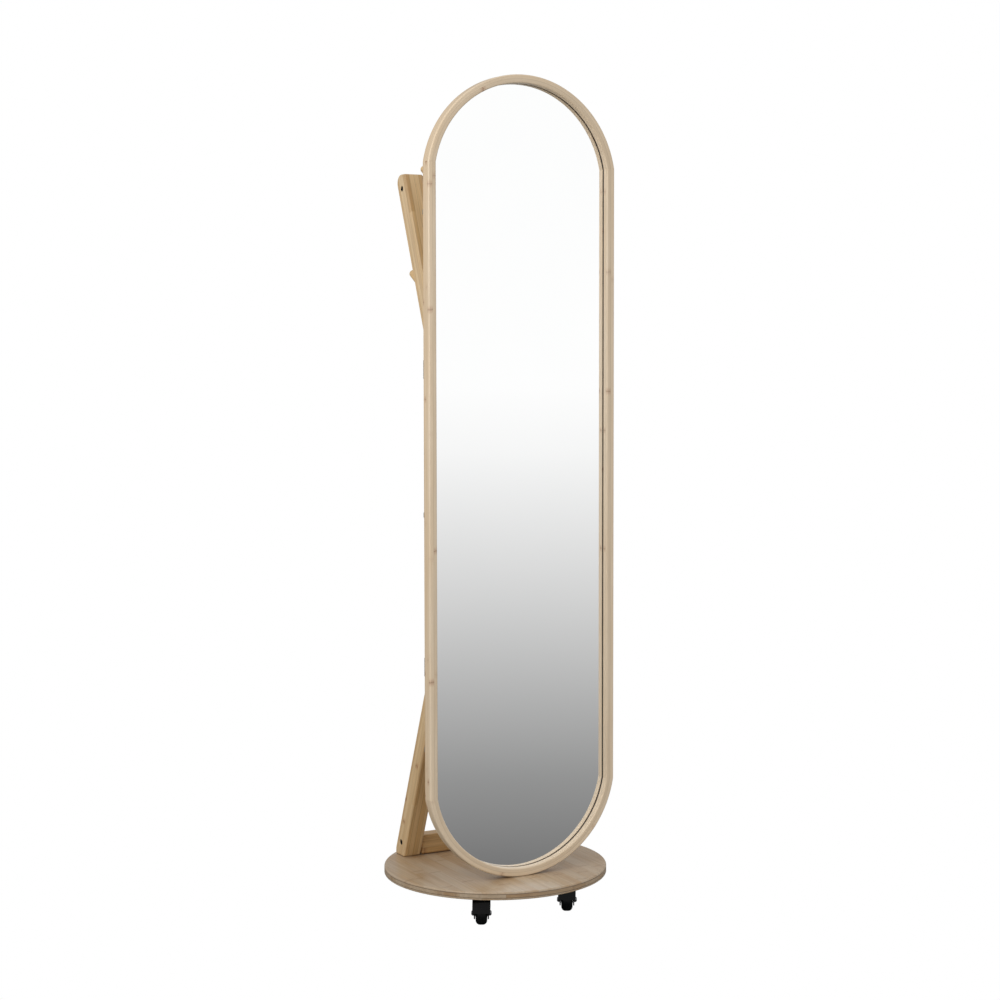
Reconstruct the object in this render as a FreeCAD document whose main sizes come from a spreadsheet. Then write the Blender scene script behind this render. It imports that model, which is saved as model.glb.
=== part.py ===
import FreeCAD, Part
import math
import os
import re

import Sketcher

# Rolling dressing mirror: a tall round-ended mirror at the front of a round base on four swivel
# casters, held at the back by two slanting legs and two slanting arms that carry a coat rack.
# Millimetres, +Z up. The mirror faces -Y and the origin is the middle of the base, on the floor.

DIMENSIONS = {
    # round base
    "base_radius": 217.5,
    "base_thick": 15,
    "base_top": 80,
    "base_round": 2.5,
    # mirror frame: two stiles between two arches, with a rebate for the glass at the back
    "frame_width": 400,
    "frame_height": 1520,
    "frame_depth": 25,
    "frame_face": 16,
    "frame_front": 117,
    "frame_round": 2,
    "arch_rise": 168,
    "arch_radius": 203,
    "rebate_depth": 11,
    "rebate_wall": 8,
    # what lies in the rebate, from the front lip backwards
    "tape_thick": 2.25,
    "tape_inset": 0.6,
    "tape_width": 6,
    "glass_thick": 4,
    "foam_thick": 1.25,
    "board_thick": 3.5,
    "pane_gap": 1,
    # slanting legs and arms, all cut from one square section
    "limb_section": 38,
    "limb_outer": 141,
    "lean_angle": 21.5,
    "limb_round": 3,
    "leg_rear": 163,
    "leg_heel": 158,
    "arm_top": 1425,
    "arm_rear": 144.8,
    "arm_corner": 18,
    # posts behind the mirror and the steel straps that join them to the stiles
    "post_low": 465,
    "post_high": 1080,
    "strap_thick": 3,
    "strap_tall": 40,
    "strap_length": 396,
    "strap_round": 4,
    "strap_low": 475,
    "strap_high": 1030,
    "strap_end_hole": 194.5,
    "strap_end_step": 11,
    "strap_post_step": 9,
    # rails between the legs and between the arms
    "foot_rail_front": 120,
    "foot_rail_deep": 30,
    "foot_rail_low": 81,
    "foot_rail_tall": 39,
    "head_rail_front": 108,
    "head_rail_deep": 18,
    "head_rail_low": 1355,
    "head_rail_tall": 69,
    "rail_gap": 2,
    "rail_round": 3,
    # cross bolts with barrel nuts, and dowels
    "bolt_radius": 2.95,
    "bolt_bore": 3.2,
    "bolt_length": 62,
    "head_radius": 5,
    "head_thick": 4.5,
    "head_bore": 5.6,
    "head_sunk": 5.5,
    "socket_width": 5,
    "barrel_radius": 5,
    "barrel_length": 12,
    "barrel_inset": 22,
    "foot_bolt_y": 133,
    "foot_bolt_z": 108,
    "head_bolt_y": 117,
    "head_bolt_z": 1397,
    "dowel_radius": 4,
    "dowel_length": 30,
    # coat pegs
    "peg_tilt": 32,
    "peg_tenon": 14,
    "peg_lead": 12,
    "peg_neck_radius": 6.3,
    "peg_neck": 16,
    "peg_knob_radius": 7.5,
    "peg_knob": 19,
    "peg_reach": 64.2,
    "peg_dome": 6,
    "arm_peg_z": 1202,
    "rail_peg_z": 1411,
    "rail_peg_step": 63,
    # swivel caster, drawn with its wheel trailing towards -Y
    "caster_left": -89,
    "caster_right": 99,
    "caster_front_y": 109,
    "caster_rear_y": 110,
    "plate_side": 40,
    "plate_thick": 2.5,
    "plate_corner": 5,
    "plate_hole": 15,
    "plate_hole_radius": 2,
    "cup_radius": 16.5,
    "cup_low": 56.5,
    "pivot_radius": 4,
    "pivot_head_radius": 6.5,
    "pivot_head_low": 46.2,
    "pivot_head_high": 48.4,
    "crown_radius": 17.3,
    "crown_low": 48.7,
    "crown_high": 56.2,
    "wheel_radius": 22,
    "wheel_width": 22,
    "wheel_trail": 10,
    "tyre_inner": 13,
    "tyre_round": 8.3,
    "hub_width": 23.4,
    "hub_boss": 6.5,
    "hood_radius": 27.5,
    "hood_inner": 24.5,
    "hood_width": 34,
    "hood_low": 27.5,
    "fork_width": 28.6,
    "fork_gap": 24,
    "cheek_low": 11,
    "cheek_foot": 4,
    "axle_radius": 3,
    "axle_fit": 0.05,
    "axle_head_radius": 5.2,
    "axle_head_thick": 5,
    "axle_head_round": 3.5,
    # screws up through the base, and the bores they pass
    "foot_bore": 2.6,
    "foot_sink": 5.2,
    "foot_sink_deep": 3.2,
    "leg_screw_front": 132,
    "leg_screw_rear": 147,
    "rail_screw_x": 46,
    "frame_screw_x": 14,
    # screws of the posts and straps
    "strap_bore": 2.2,
    "strap_sink": 4.6,
    "strap_sink_deep": 2.6,
    "stile_bore": 1.7,
    "leg_screw_low": 542,
    "leg_screw_high": 564,
    "arm_screw_low": 972,
    "arm_screw_high": 994,
    # clips that hold the back board
    "clip_low": 340,
    "clip_middle": 780,
    "clip_high": 1340,
    "clip_bore": 1.6,
    "clip_corner": 3,
    "clip_back": 3.5,
    "clip_length": 24,
    "clip_width": 12,
    "clip_thick": 1.2,
}

SIDES = {"left": -1, "right": 1}
VECTOR = FreeCAD.Vector
ALONG = {
    "+X": FreeCAD.Rotation(VECTOR(0, 1, 0), 90),
    "-X": FreeCAD.Rotation(VECTOR(0, 1, 0), -90),
    "+Y": FreeCAD.Rotation(VECTOR(1, 0, 0), -90),
    "-Y": FreeCAD.Rotation(VECTOR(1, 0, 0), 90),
    "+Z": FreeCAD.Rotation(),
    "-Z": FreeCAD.Rotation(VECTOR(1, 0, 0), 180),
}

doc = FreeCAD.newDocument("floor_mirror")
sheet = doc.addObject("Spreadsheet::Sheet", "dims")
for row, (alias, size) in enumerate(DIMENSIONS.items(), start=1):
    sheet.set(f"A{row}", alias)
    sheet.set(f"B{row}", str(size))
    sheet.setAlias(f"B{row}", alias)
doc.recompute()

nodes = []


# ---------------------------------------------------------------- expressions and placing


def bound(text):
    """An expression in which every name with an underscore is a cell of the sheet."""
    return re.sub(r"[a-z]+(?:_[a-z]+)+", lambda word: "dims." + word.group(), text)


def value(text):
    """The number that an expression gives now."""
    return float(sheet.evalExpression(bound(text)))


def place(obj, corner, rotation=FreeCAD.Rotation()):
    """Put an object at three expressions, turned by a fixed rotation."""
    obj.Placement = FreeCAD.Placement(VECTOR(), rotation)
    for axis, text in zip("xyz", corner):
        obj.setExpression(f"Placement.Base.{axis}", bound(text))
    return obj


def node(obj, label):
    """Declare an object as the finished sub-part of that name."""
    obj.Label = label
    nodes.append(obj)
    return obj


# ---------------------------------------------------------------- Part workbench pieces


def box(name, size, corner):
    solid = doc.addObject("Part::Box", name)
    for side, text in zip(("Length", "Width", "Height"), size):
        solid.setExpression(side, bound(text))
    return place(solid, corner)


def cylinder(name, radius, length, start, along):
    solid = doc.addObject("Part::Cylinder", name)
    solid.setExpression("Radius", bound(radius))
    solid.setExpression("Height", bound(length))
    return place(solid, start, ALONG[along])


def fuse(name, solids):
    joined = doc.addObject("Part::MultiFuse", name)
    joined.Shapes = solids
    return joined


def cut(name, base, tools):
    """The base with every tool taken away."""
    result = doc.addObject("Part::Cut", name)
    result.Base = base
    result.Tool = tools[0] if len(tools) == 1 else fuse(name + "_tools", tools)
    return result


def rounded(name, base, radius, wanted):
    """A Part fillet on the edges that a test picks."""
    doc.recompute()
    size = value(radius)
    picked = [(i, size, size) for i, edge in enumerate(base.Shape.Edges, start=1) if wanted(edge)]
    result = doc.addObject("Part::Fillet", name)
    result.Base = base
    result.Edges = picked
    return result


def scatter(label, shape, placements):
    """One node of separate equal solids, placed one by one."""
    group = doc.addObject("Part::Feature", label)
    group.Shape = Part.makeCompound([shape.transformed(spot.Matrix) for spot in placements])
    return node(group, label)


def spot(x, y, z, along):
    return FreeCAD.Placement(VECTOR(x, y, z), ALONG[along])


# ---------------------------------------------------------------- PartDesign pieces


def new_body(name):
    return doc.addObject("PartDesign::Body", name)


def new_sketch(body, role, name):
    """A sketch on one of the body's own origin planes."""
    plane = next(face for face in body.Origin.OriginFeatures if face.Role == role)
    sketch = body.newObject("Sketcher::SketchObject", f"{body.Name}_{name}")
    sketch.AttachmentSupport = (plane, [""])
    sketch.MapMode = "FlatFace"
    return sketch


def bind_constraint(sketch, kind, where, text):
    """A sized constraint that follows an expression."""
    index = sketch.addConstraint(Sketcher.Constraint(kind, *where, value(text)))
    sketch.setExpression(f"Constraints[{index}]", bound(text))


def polygon(sketch, corners):
    """A closed outline whose corners are pairs of expressions, measured from the sketch's origin."""
    points = [VECTOR(value(across), value(up), 0) for across, up in corners]
    following = points[1:] + points[:1]
    for first, second in zip(points, following):
        sketch.addGeometry(Part.LineSegment(first, second), False)
    for side in range(len(points)):
        sketch.addConstraint(Sketcher.Constraint("Coincident", side, 2, (side + 1) % len(points), 1))
    for side, (across, up) in enumerate(corners):
        bind_constraint(sketch, "DistanceX", (-1, 1, side, 1), across)
        bind_constraint(sketch, "DistanceY", (-1, 1, side, 1), up)


def circle(sketch, across, up, radius):
    """A full circle; a centre coordinate of None lies on the axis."""
    middle = VECTOR(value(across) if across else 0, value(up) if up else 0, 0)
    ring = sketch.addGeometry(Part.Circle(middle, VECTOR(0, 0, 1), value(radius)), False)
    bind_constraint(sketch, "Radius", (ring,), radius)
    if across:
        bind_constraint(sketch, "DistanceX", (-1, 1, ring, 3), across)
    else:
        sketch.addConstraint(Sketcher.Constraint("PointOnObject", ring, 3, -2))
    if up:
        bind_constraint(sketch, "DistanceY", (-1, 1, ring, 3), up)
    else:
        sketch.addConstraint(Sketcher.Constraint("PointOnObject", ring, 3, -1))


def pad(body, sketch, length, midplane=False):
    feature = body.newObject("PartDesign::Pad", sketch.Name + "_pad")
    feature.Profile = sketch
    feature.setExpression("Length", bound(length))
    feature.Midplane = midplane
    sketch.Visibility = False
    return feature


def pocket(body, sketch, length, midplane=False, backwards=False):
    """A pocket that is checked to take something away."""
    doc.recompute()
    before = body.Shape.Volume
    feature = body.newObject("PartDesign::Pocket", sketch.Name + "_pocket")
    feature.Profile = sketch
    feature.setExpression("Length", bound(length))
    feature.Midplane = midplane
    feature.Reversed = backwards
    doc.recompute()
    if body.Shape.Volume > before - 1:
        raise RuntimeError(f"{feature.Name} removes nothing")
    return feature


def soften(body, radius, wanted):
    """A PartDesign fillet on the edges that a test picks."""
    doc.recompute()
    edges = [f"Edge{i}" for i, edge in enumerate(body.Shape.Edges, start=1) if wanted(edge)]
    base = body.Tip
    feature = body.newObject("PartDesign::Fillet", f"{body.Name}_round_{len(body.Group)}")
    feature.Base = (base, edges)
    feature.setExpression("Radius", bound(radius))
    body.Tip = feature
    return feature


def revolve(body, sketch, axis):
    """A full turn of a sketch about its own horizontal or vertical axis."""
    feature = body.newObject("PartDesign::Revolution", sketch.Name + "_turn")
    feature.Profile = sketch
    feature.ReferenceAxis = (sketch, [axis])
    feature.Angle = 360
    return feature


def longer_than(length):
    return lambda edge: edge.Length > length


# ---------------------------------------------------------------- base


def make_base():
    """The round board, with clearance bores from below for the screws that hold what stands on it."""
    body = new_body("base_board")
    outline = new_sketch(body, "XY_Plane", "outline")
    circle(outline, None, None, "base_radius")
    pad(body, outline, "base_thick")
    soften(body, "base_round", longer_than(value("base_radius")))
    place(body, ("0", "0", "base_top - base_thick"))
    bores = []
    for count, (x, y) in enumerate(foot_screw_places()):
        start = (str(x), str(y), "base_top - base_thick")
        bores.append(cylinder(f"foot_sink_{count}", "foot_sink", "foot_sink_deep", start, "+Z"))
        bores.append(cylinder(f"foot_bore_{count}", "foot_bore", "base_thick", start, "+Z"))
    return node(cut("base_disc_cut", body, bores), "base_disc")


def foot_screw_places():
    """Two screws up into each leg, two into the rail between them and two into the mirror frame."""
    leg_middle = value("limb_outer - limb_section / 2")
    rail_middle = value("foot_rail_front + foot_rail_deep / 2")
    frame_lip = value("0 - frame_front + (frame_depth - rebate_depth) / 2")
    leg_places = (value("leg_screw_front"), value("leg_screw_rear"))
    legs = [(side * leg_middle, y) for side in SIDES.values() for y in leg_places]
    rail = [(side * value("rail_screw_x"), rail_middle) for side in SIDES.values()]
    frame = [(side * value("frame_screw_x"), frame_lip) for side in SIDES.values()]
    return legs + rail + frame


# ---------------------------------------------------------------- legs, arms, posts and rails


REAR_SLOPE = "tan(lean_angle)"
LIMB_DEEP = "limb_section / cos(lean_angle)"
POST_FRONT = "(0 - frame_front + frame_depth + strap_thick)"
POST_REAR = "(0 - frame_front + frame_depth + strap_thick + limb_section)"
RAIL_END = "(limb_outer - limb_section)"


def limb_bores(name, side, y, z):
    """A clear bore through a limb for a cross bolt, sunk at the outer face for its head."""
    start = f"{side} * limb_outer"
    inwards = "-X" if side > 0 else "+X"
    through = cylinder(name + "_bore", "bolt_bore", "limb_section", (start, y, z), inwards)
    sunk = cylinder(name + "_sink", "head_bore", "head_sunk", (start, y, z), inwards)
    return [through, sunk]


def dowel_bore(name, side, y, z):
    """A blind bore for half a dowel in the inner face of a limb."""
    start = (f"{side} * {RAIL_END}", y, z)
    return cylinder(name, "dowel_radius + 0.05", "dowel_length / 2 + 1", start, "+X" if side > 0 else "-X")


def make_leg(name, side):
    """A leg leans forward from the rear of the base and is cut plumb against the back of its post."""
    body = new_body(f"leg_{name}_bar")
    outline = new_sketch(body, "YZ_Plane", "side")
    polygon(outline, [
        (f"leg_rear - {LIMB_DEEP}", "base_top"),
        ("leg_heel", "base_top"),
        ("leg_heel", f"base_top + (leg_rear - leg_heel) / {REAR_SLOPE}"),
        (POST_REAR, f"base_top + (leg_rear - {POST_REAR}) / {REAR_SLOPE}"),
        (POST_REAR, f"base_top + (leg_rear - {LIMB_DEEP} - {POST_REAR}) / {REAR_SLOPE}"),
    ])
    pad(body, outline, "limb_section")
    soften(body, "limb_round", longer_than(200))
    place(body, ("0 - limb_outer" if side < 0 else RAIL_END, "0", "0"))
    tools = limb_bores(f"leg_{name}", side, "foot_bolt_y", "foot_bolt_z")
    tools.append(dowel_bore(f"leg_{name}_dowel", side, "foot_bolt_y", "foot_bolt_z - 17"))
    return node(cut(f"leg_{name}_cut", body, tools), f"leg_{name}")


def arm_rear_at(height):
    return f"(arm_rear - (arm_top - {height}) * {REAR_SLOPE})"


def make_arm(name, side):
    """An arm leans back from its post to the coat rail, with a rounded rear corner at the top."""
    body = new_body(f"arm_{name}_bar")
    outline = new_sketch(body, "YZ_Plane", "side")
    polygon(outline, [
        (f"arm_rear - {LIMB_DEEP}", "arm_top"),
        (POST_REAR, f"arm_top - (arm_rear - {LIMB_DEEP} - {POST_REAR}) / {REAR_SLOPE}"),
        (POST_REAR, f"arm_top - (arm_rear - {POST_REAR}) / {REAR_SLOPE}"),
        ("arm_rear", "arm_top"),
    ])
    pad(body, outline, "limb_section")
    rear_top = value("arm_rear")
    soften(body, "arm_corner", lambda edge: edge.CenterOfMass.y > rear_top - 0.01)
    soften(body, "limb_round", longer_than(200))
    place(body, ("0 - limb_outer" if side < 0 else RAIL_END, "0", "0"))
    tools = limb_bores(f"arm_{name}", side, "head_bolt_y", "head_bolt_z")
    for count, offset in enumerate(("- 14", "+ 14")):
        tools.append(dowel_bore(f"arm_{name}_dowel_{count}", side, "head_bolt_y", f"head_bolt_z {offset}"))
    tools.append(peg_bore(f"arm_{name}_peg", peg_origin(side)))
    return node(cut(f"arm_{name}_cut", body, tools), f"arm_{name}")


def make_post(name, side):
    """An upright bar that joins a leg and an arm behind the mirror."""
    body = new_body(f"post_{name}_bar")
    outline = new_sketch(body, "YZ_Plane", "side")
    polygon(outline, [(POST_FRONT, "post_low"), (POST_REAR, "post_low"),
                      (POST_REAR, "post_high"), (POST_FRONT, "post_high")])
    pad(body, outline, "limb_section")
    soften(body, "limb_round - 1", lambda edge: True)
    place(body, ("0 - limb_outer" if side < 0 else RAIL_END, "0", "0"))
    return node(body, f"post_{name}")


def make_rail(label, front, deep, low, tall, bolt_y, bolt_z, dowel_offsets):
    """A rail between two limbs, bored at its ends for bolts and dowels and at its back for barrel nuts."""
    half = f"({RAIL_END} - rail_gap)"
    blank = box(label + "_blank", (f"2 * {half}", deep, tall), (f"0 - {half}", front, low))
    bar = rounded(label + "_bar", blank, "rail_round", longer_than(150))
    tools = []
    for name, side in SIDES.items():
        end = f"{side} * {RAIL_END}"
        inwards = "-X" if side > 0 else "+X"
        tools.append(cylinder(f"{label}_{name}_bore", "bolt_bore", "bolt_length - limb_section + 8",
                              (end, bolt_y, bolt_z), inwards))
        nut_x = f"{side} * ({RAIL_END} - barrel_inset)"
        tools.append(cylinder(f"{label}_{name}_nut_bore", "barrel_radius + 0.1",
                              f"{front} + {deep} - {bolt_y} + barrel_length / 2 + 1",
                              (nut_x, f"{bolt_y} - barrel_length / 2 - 1", bolt_z), "+Y"))
        for count, offset in enumerate(dowel_offsets):
            tools.append(cylinder(f"{label}_{name}_dowel_{count}", "dowel_radius + 0.05",
                                  "dowel_length / 2 + 1", (end, bolt_y, f"{bolt_z} {offset}"), inwards))
    return bar, tools


def make_foot_rail():
    bar, tools = make_rail("foot_rail", "foot_rail_front", "foot_rail_deep", "foot_rail_low",
                           "foot_rail_tall", "foot_bolt_y", "foot_bolt_z", ["- 17"])
    return node(cut("foot_rail_cut", bar, tools), "foot_rail")


def make_head_rail():
    """The coat rail also carries a row of pegs on its back."""
    bar, tools = make_rail("head_rail", "head_rail_front", "head_rail_deep", "head_rail_low",
                           "head_rail_tall", "head_bolt_y", "head_bolt_z", ["- 14", "+ 14"])
    for count in (-1, 0, 1):
        tools.append(peg_bore(f"head_rail_peg_{count + 1}", rail_peg_origin(count)))
    return node(cut("head_rail_cut", bar, tools), "head_rail")


def make_strap(label, low):
    """A flat steel strap across the back of the frame, drilled for both stiles and both posts."""
    body = new_body(label + "_plate")
    outline = new_sketch(body, "XZ_Plane", "outline")
    half = "strap_length / 2"
    minus = "0 - strap_length / 2"
    high = f"{low} + strap_tall"
    polygon(outline, [(minus, low), (half, low), (half, high), (minus, high)])
    pad(body, outline, "strap_thick")
    thick = value("strap_thick")
    soften(body, "strap_round", lambda edge: abs(edge.Length - thick) < 0.01)
    place(body, ("0", POST_FRONT, "0"))
    holes = []
    middle = f"{low} + strap_tall / 2"
    front = "frame_depth - frame_front"
    for name, side in SIDES.items():
        for step in ("+", "-"):
            end = (f"{side} * strap_end_hole", front, f"{middle} {step} strap_end_step")
            holes.append(cylinder(f"{label}_{name}_end", "stile_bore", "strap_thick", end, "+Y"))
            post = (f"{side} * (limb_outer - limb_section / 2)", front, f"{middle} {step} strap_post_step")
            holes.append(countersink(f"{label}_{name}_post", post))
    return node(cut(label + "_cut", body, holes), label)


def countersink(name, start):
    """A bore through a strap that is wide at the front for a flush screw head."""
    cone = doc.addObject("Part::Cone", name + "_sink")
    cone.setExpression("Radius1", bound("strap_sink"))
    cone.setExpression("Radius2", bound("strap_bore"))
    cone.setExpression("Height", bound("strap_sink_deep"))
    place(cone, start, ALONG["+Y"])
    return fuse(name + "_hole", [cone, cylinder(name + "_bore", "strap_bore", "strap_thick", start, "+Y")])


# ---------------------------------------------------------------- mirror frame and what it holds


ARCH_CENTRE = {
    "top": "(base_top + frame_height - arch_radius)",
    "bottom": "(base_top + arch_radius)",
}
JOINT_HEIGHT = {
    "top": "(base_top + frame_height - arch_rise)",
    "bottom": "(base_top + arch_rise)",
}
ARCH_TURN = {"top": 0, "bottom": 180}


def arc_between(sketch, end, radius, half_chord):
    """An arc about the arch's centre, over or under it, with both ends half a chord from the middle."""
    middle = VECTOR(0, value(ARCH_CENTRE[end]), 0)
    start = math.degrees(math.acos(value(half_chord) / value(radius)))
    ring = Part.Circle(middle, VECTOR(0, 0, 1), value(radius))
    turn = ARCH_TURN[end]
    arc = Part.ArcOfCircle(ring, math.radians(turn + start), math.radians(turn + 180 - start))
    index = sketch.addGeometry(arc, False)
    bind_constraint(sketch, "Radius", (index,), radius)
    sketch.addConstraint(Sketcher.Constraint("PointOnObject", index, 3, -2))
    bind_constraint(sketch, "DistanceY", (-1, 1, index, 3), ARCH_CENTRE[end])
    return index


def make_arch(end):
    """A bent end of the frame: a ring segment with a rebate behind and level joints to the stiles."""
    body = new_body(f"arch_{end}_bar")
    outline = new_sketch(body, "XZ_Plane", "outline")
    chord = f"sqrt(pow({{0}}; 2) - pow(arch_radius - arch_rise; 2))"
    outer_chord = chord.format("arch_radius")
    inner_chord = chord.format("(arch_radius - frame_face)")
    outer = arc_between(outline, end, "arch_radius", outer_chord)
    inner = arc_between(outline, end, "arch_radius - frame_face", inner_chord)
    first, last = (1, 2) if end == "top" else (2, 1)
    for corner in (first, last):
        sign = 1 if corner == first else -1
        level = value(JOINT_HEIGHT[end])
        joint = outline.addGeometry(Part.LineSegment(
            VECTOR(sign * value(outer_chord), level, 0), VECTOR(sign * value(inner_chord), level, 0)), False)
        outline.addConstraint(Sketcher.Constraint("Coincident", joint, 1, outer, corner))
        outline.addConstraint(Sketcher.Constraint("Coincident", joint, 2, inner, corner))
        bind_constraint(outline, "DistanceY", (-1, 1, joint, 1), JOINT_HEIGHT[end])
        outline.addConstraint(Sketcher.Constraint("Horizontal", joint))
    pad(body, outline, "frame_depth")
    rebate = new_sketch(body, "XZ_Plane", "rebate")
    circle(rebate, None, ARCH_CENTRE[end], "arch_radius - rebate_wall")
    pocket(body, rebate, "rebate_depth", backwards=True)
    front = value("0 - frame_depth")
    soften(body, "frame_round", lambda edge: frame_edge(edge, front, value("arch_radius")))
    place(body, ("0", "frame_depth - frame_front", "0"))
    return node(body, f"arch_{end}")


def frame_edge(edge, front, outer_radius):
    """The outer edges at the front and at the back of an arch, and the inner one at the front."""
    if edge.Length < 100 or not hasattr(edge.Curve, "Radius"):
        return False
    level = edge.CenterOfMass.y
    on_front = abs(level - front) < 0.01
    return on_front or (abs(level) < 0.01 and abs(edge.Curve.Radius - outer_radius) < 0.01)


def make_stile(name, side):
    """A straight side of the frame, between the arches, with the same rebate behind."""
    body = new_body(f"stile_{name}_bar")
    outline = new_sketch(body, "XY_Plane", "section")
    outer = f"{side} * frame_width / 2"
    inner = f"{side} * (frame_width / 2 - frame_face)"
    wall = f"{side} * (frame_width / 2 - rebate_wall)"
    front = "0 - frame_front"
    lip = "frame_depth - rebate_depth - frame_front"
    back = "frame_depth - frame_front"
    polygon(outline, [(outer, front), (inner, front), (inner, lip), (wall, lip), (wall, back), (outer, back)])
    pad(body, outline, f"{JOINT_HEIGHT['top']} - {JOINT_HEIGHT['bottom']}")
    edges = [(outer, front), (inner, front), (outer, back)]
    spots = [(value(x), value(y)) for x, y in edges]
    soften(body, "frame_round", lambda edge: edge.Length > 100 and any(
        math.dist((edge.CenterOfMass.x, edge.CenterOfMass.y), spot) < 0.01 for spot in spots))
    place(body, ("0", "0", JOINT_HEIGHT["bottom"]))
    return node(body, f"stile_{name}")


def pane_outline(sketch, inset):
    """The round-ended outline of everything in the rebate, set in from the frame's outer edge."""
    half = f"(frame_width / 2 - ({inset}))"
    radius = f"arch_radius - ({inset})"
    arcs = {end: arc_between(sketch, end, radius, half) for end in ARCH_CENTRE}
    rise = math.sqrt(value(radius) ** 2 - value(half) ** 2)
    top = value(ARCH_CENTRE["top"]) + rise
    bottom = value(ARCH_CENTRE["bottom"]) - rise
    for side, top_end, bottom_end in ((1, 1, 2), (-1, 2, 1)):
        edge = sketch.addGeometry(Part.LineSegment(
            VECTOR(side * value(half), top, 0), VECTOR(side * value(half), bottom, 0)), False)
        sketch.addConstraint(Sketcher.Constraint("Coincident", edge, 1, arcs["top"], top_end))
        sketch.addConstraint(Sketcher.Constraint("Coincident", edge, 2, arcs["bottom"], bottom_end))
        bind_constraint(sketch, "DistanceX", (-1, 1, edge, 1), f"{side} * {half}")
        sketch.addConstraint(Sketcher.Constraint("Vertical", edge))


def make_sheet(label, thick, back, insets):
    """A flat sheet in the rebate, or a flat ring when two insets are given."""
    body = new_body(label + "_sheet")
    outline = new_sketch(body, "XZ_Plane", "outline")
    for inset in insets:
        pane_outline(outline, inset)
    pad(body, outline, thick)
    place(body, ("0", back, "0"))
    return node(body, label)


def make_filling():
    """Black tape behind the lip, the glass, a foam sheet and the board that closes the back."""
    lip = "frame_depth - rebate_depth - frame_front"
    edge = "rebate_wall + pane_gap"
    tape_outer = "frame_face - tape_inset - tape_width"
    layers = [
        ("glazing_tape", "tape_thick", ["frame_face - tape_inset"]),
        ("mirror_glass", "glass_thick", [edge]),
        ("foam_sheet", "foam_thick", [edge]),
        ("back_board", "board_thick", [edge]),
    ]
    back = lip
    for label, thick, insets in layers:
        back = f"{back} + {thick}"
        if label == "glazing_tape":
            insets = [tape_outer] + insets
        make_sheet(label, thick, back, insets)


# ---------------------------------------------------------------- coat pegs


def peg_origin(side):
    """Where an arm's peg leaves the rear face of the arm."""
    rear = value(arm_rear_at("arm_peg_z"))
    return VECTOR(side * value("limb_outer - limb_section / 2"), rear, value("arm_peg_z"))


def rail_peg_origin(count):
    rear = value("head_rail_front + head_rail_deep")
    return VECTOR(count * value("rail_peg_step"), rear, value("rail_peg_z"))


def peg_bore(name, origin):
    """The blind bore for a peg, drilled along the peg from a little outside the wood."""
    tilt = FreeCAD.Rotation(VECTOR(1, 0, 0), value("peg_tilt") + 90)
    start = origin - tilt.multVec(VECTOR(0, 0, value("peg_lead")))
    bore = cylinder(name + "_bore", "peg_neck_radius + 0.05", "peg_tenon + peg_lead + 0.5",
                    ("0", "0", "0"), "+Y")
    return place(bore, [str(part) for part in start], tilt)


def make_peg(label, origin):
    """A turned peg that tilts up: a thin stem let into the wood, then a thicker part with a domed end."""
    body = new_body(label + "_turned")
    outline = new_sketch(body, "YZ_Plane", "profile")
    corners = [("0 - peg_tenon", "0"), ("0 - peg_tenon", "peg_neck_radius - 1"),
               ("1 - peg_tenon", "peg_neck_radius"), ("peg_neck", "peg_neck_radius"),
               ("peg_knob", "peg_knob_radius"), ("peg_reach", "peg_knob_radius"), ("peg_reach", "0")]
    polygon(outline, corners)
    revolve(body, outline, "H_Axis")
    end = value("peg_reach")
    soften(body, "peg_dome", lambda edge: abs(edge.CenterOfMass.y - end) < 0.01 and edge.Length > 30)
    body.Placement = FreeCAD.Placement(origin, FreeCAD.Rotation(VECTOR(1, 0, 0), value("peg_tilt")))
    return node(body, label)


# ---------------------------------------------------------------- casters


CASTERS = {
    "front_left": ("caster_left", "0 - caster_front_y", -29),
    "front_right": ("caster_right", "0 - caster_front_y", -31),
    "rear_left": ("caster_left", "caster_rear_y", 151),
    "rear_right": ("caster_right", "caster_rear_y", 151),
}


def set_caster(obj, name):
    """Move a caster's piece from its own axis to its place under the base, turned to its heading."""
    x, y, heading = CASTERS[name]
    return place(obj, (x, y, "0"), FreeCAD.Rotation(VECTOR(0, 0, 1), heading))


def make_caster_plate(name):
    """The plate, its ball cup and the riveted pivot that the fork turns on."""
    body = new_body(f"caster_plate_{name}_body")
    outline = new_sketch(body, "YZ_Plane", "turned")
    top = "base_top - base_thick - plate_thick"
    polygon(outline, [
        ("0.001", "pivot_head_low"), ("pivot_head_radius", "pivot_head_low"),
        ("pivot_head_radius", "pivot_head_high"), ("pivot_radius", "pivot_head_high"),
        ("pivot_radius", "cup_low"), ("cup_radius - 1.5", "cup_low"),
        ("cup_radius", "cup_low + 1.5"), ("cup_radius", top), ("0.001", top),
    ])
    revolve(body, outline, "V_Axis")
    square = new_sketch(body, "XY_Plane", "square")
    square.AttachmentOffset = FreeCAD.Placement(VECTOR(0, 0, value(top)), FreeCAD.Rotation())
    square.setExpression("AttachmentOffset.Base.z", bound(top))
    half = "plate_side / 2"
    minus = "0 - plate_side / 2"
    polygon(square, [(half, minus), (half, half), (minus, half), (minus, minus)])
    pad(body, square, "plate_thick")
    corner = value(half) * math.sqrt(2)
    soften(body, "plate_corner", lambda edge: math.hypot(*edge.CenterOfMass[:2]) > corner - 0.01)
    holes = new_sketch(body, "XY_Plane", "holes")
    for x, y in plate_hole_places():
        circle(holes, x, y, "plate_hole_radius")
    pocket(body, holes, "base_top", backwards=True)
    return node(set_caster(body, name), f"caster_plate_{name}")


def plate_hole_places():
    across = ("plate_hole", "0 - plate_hole")
    return [(x, y) for x in across for y in across]


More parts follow.
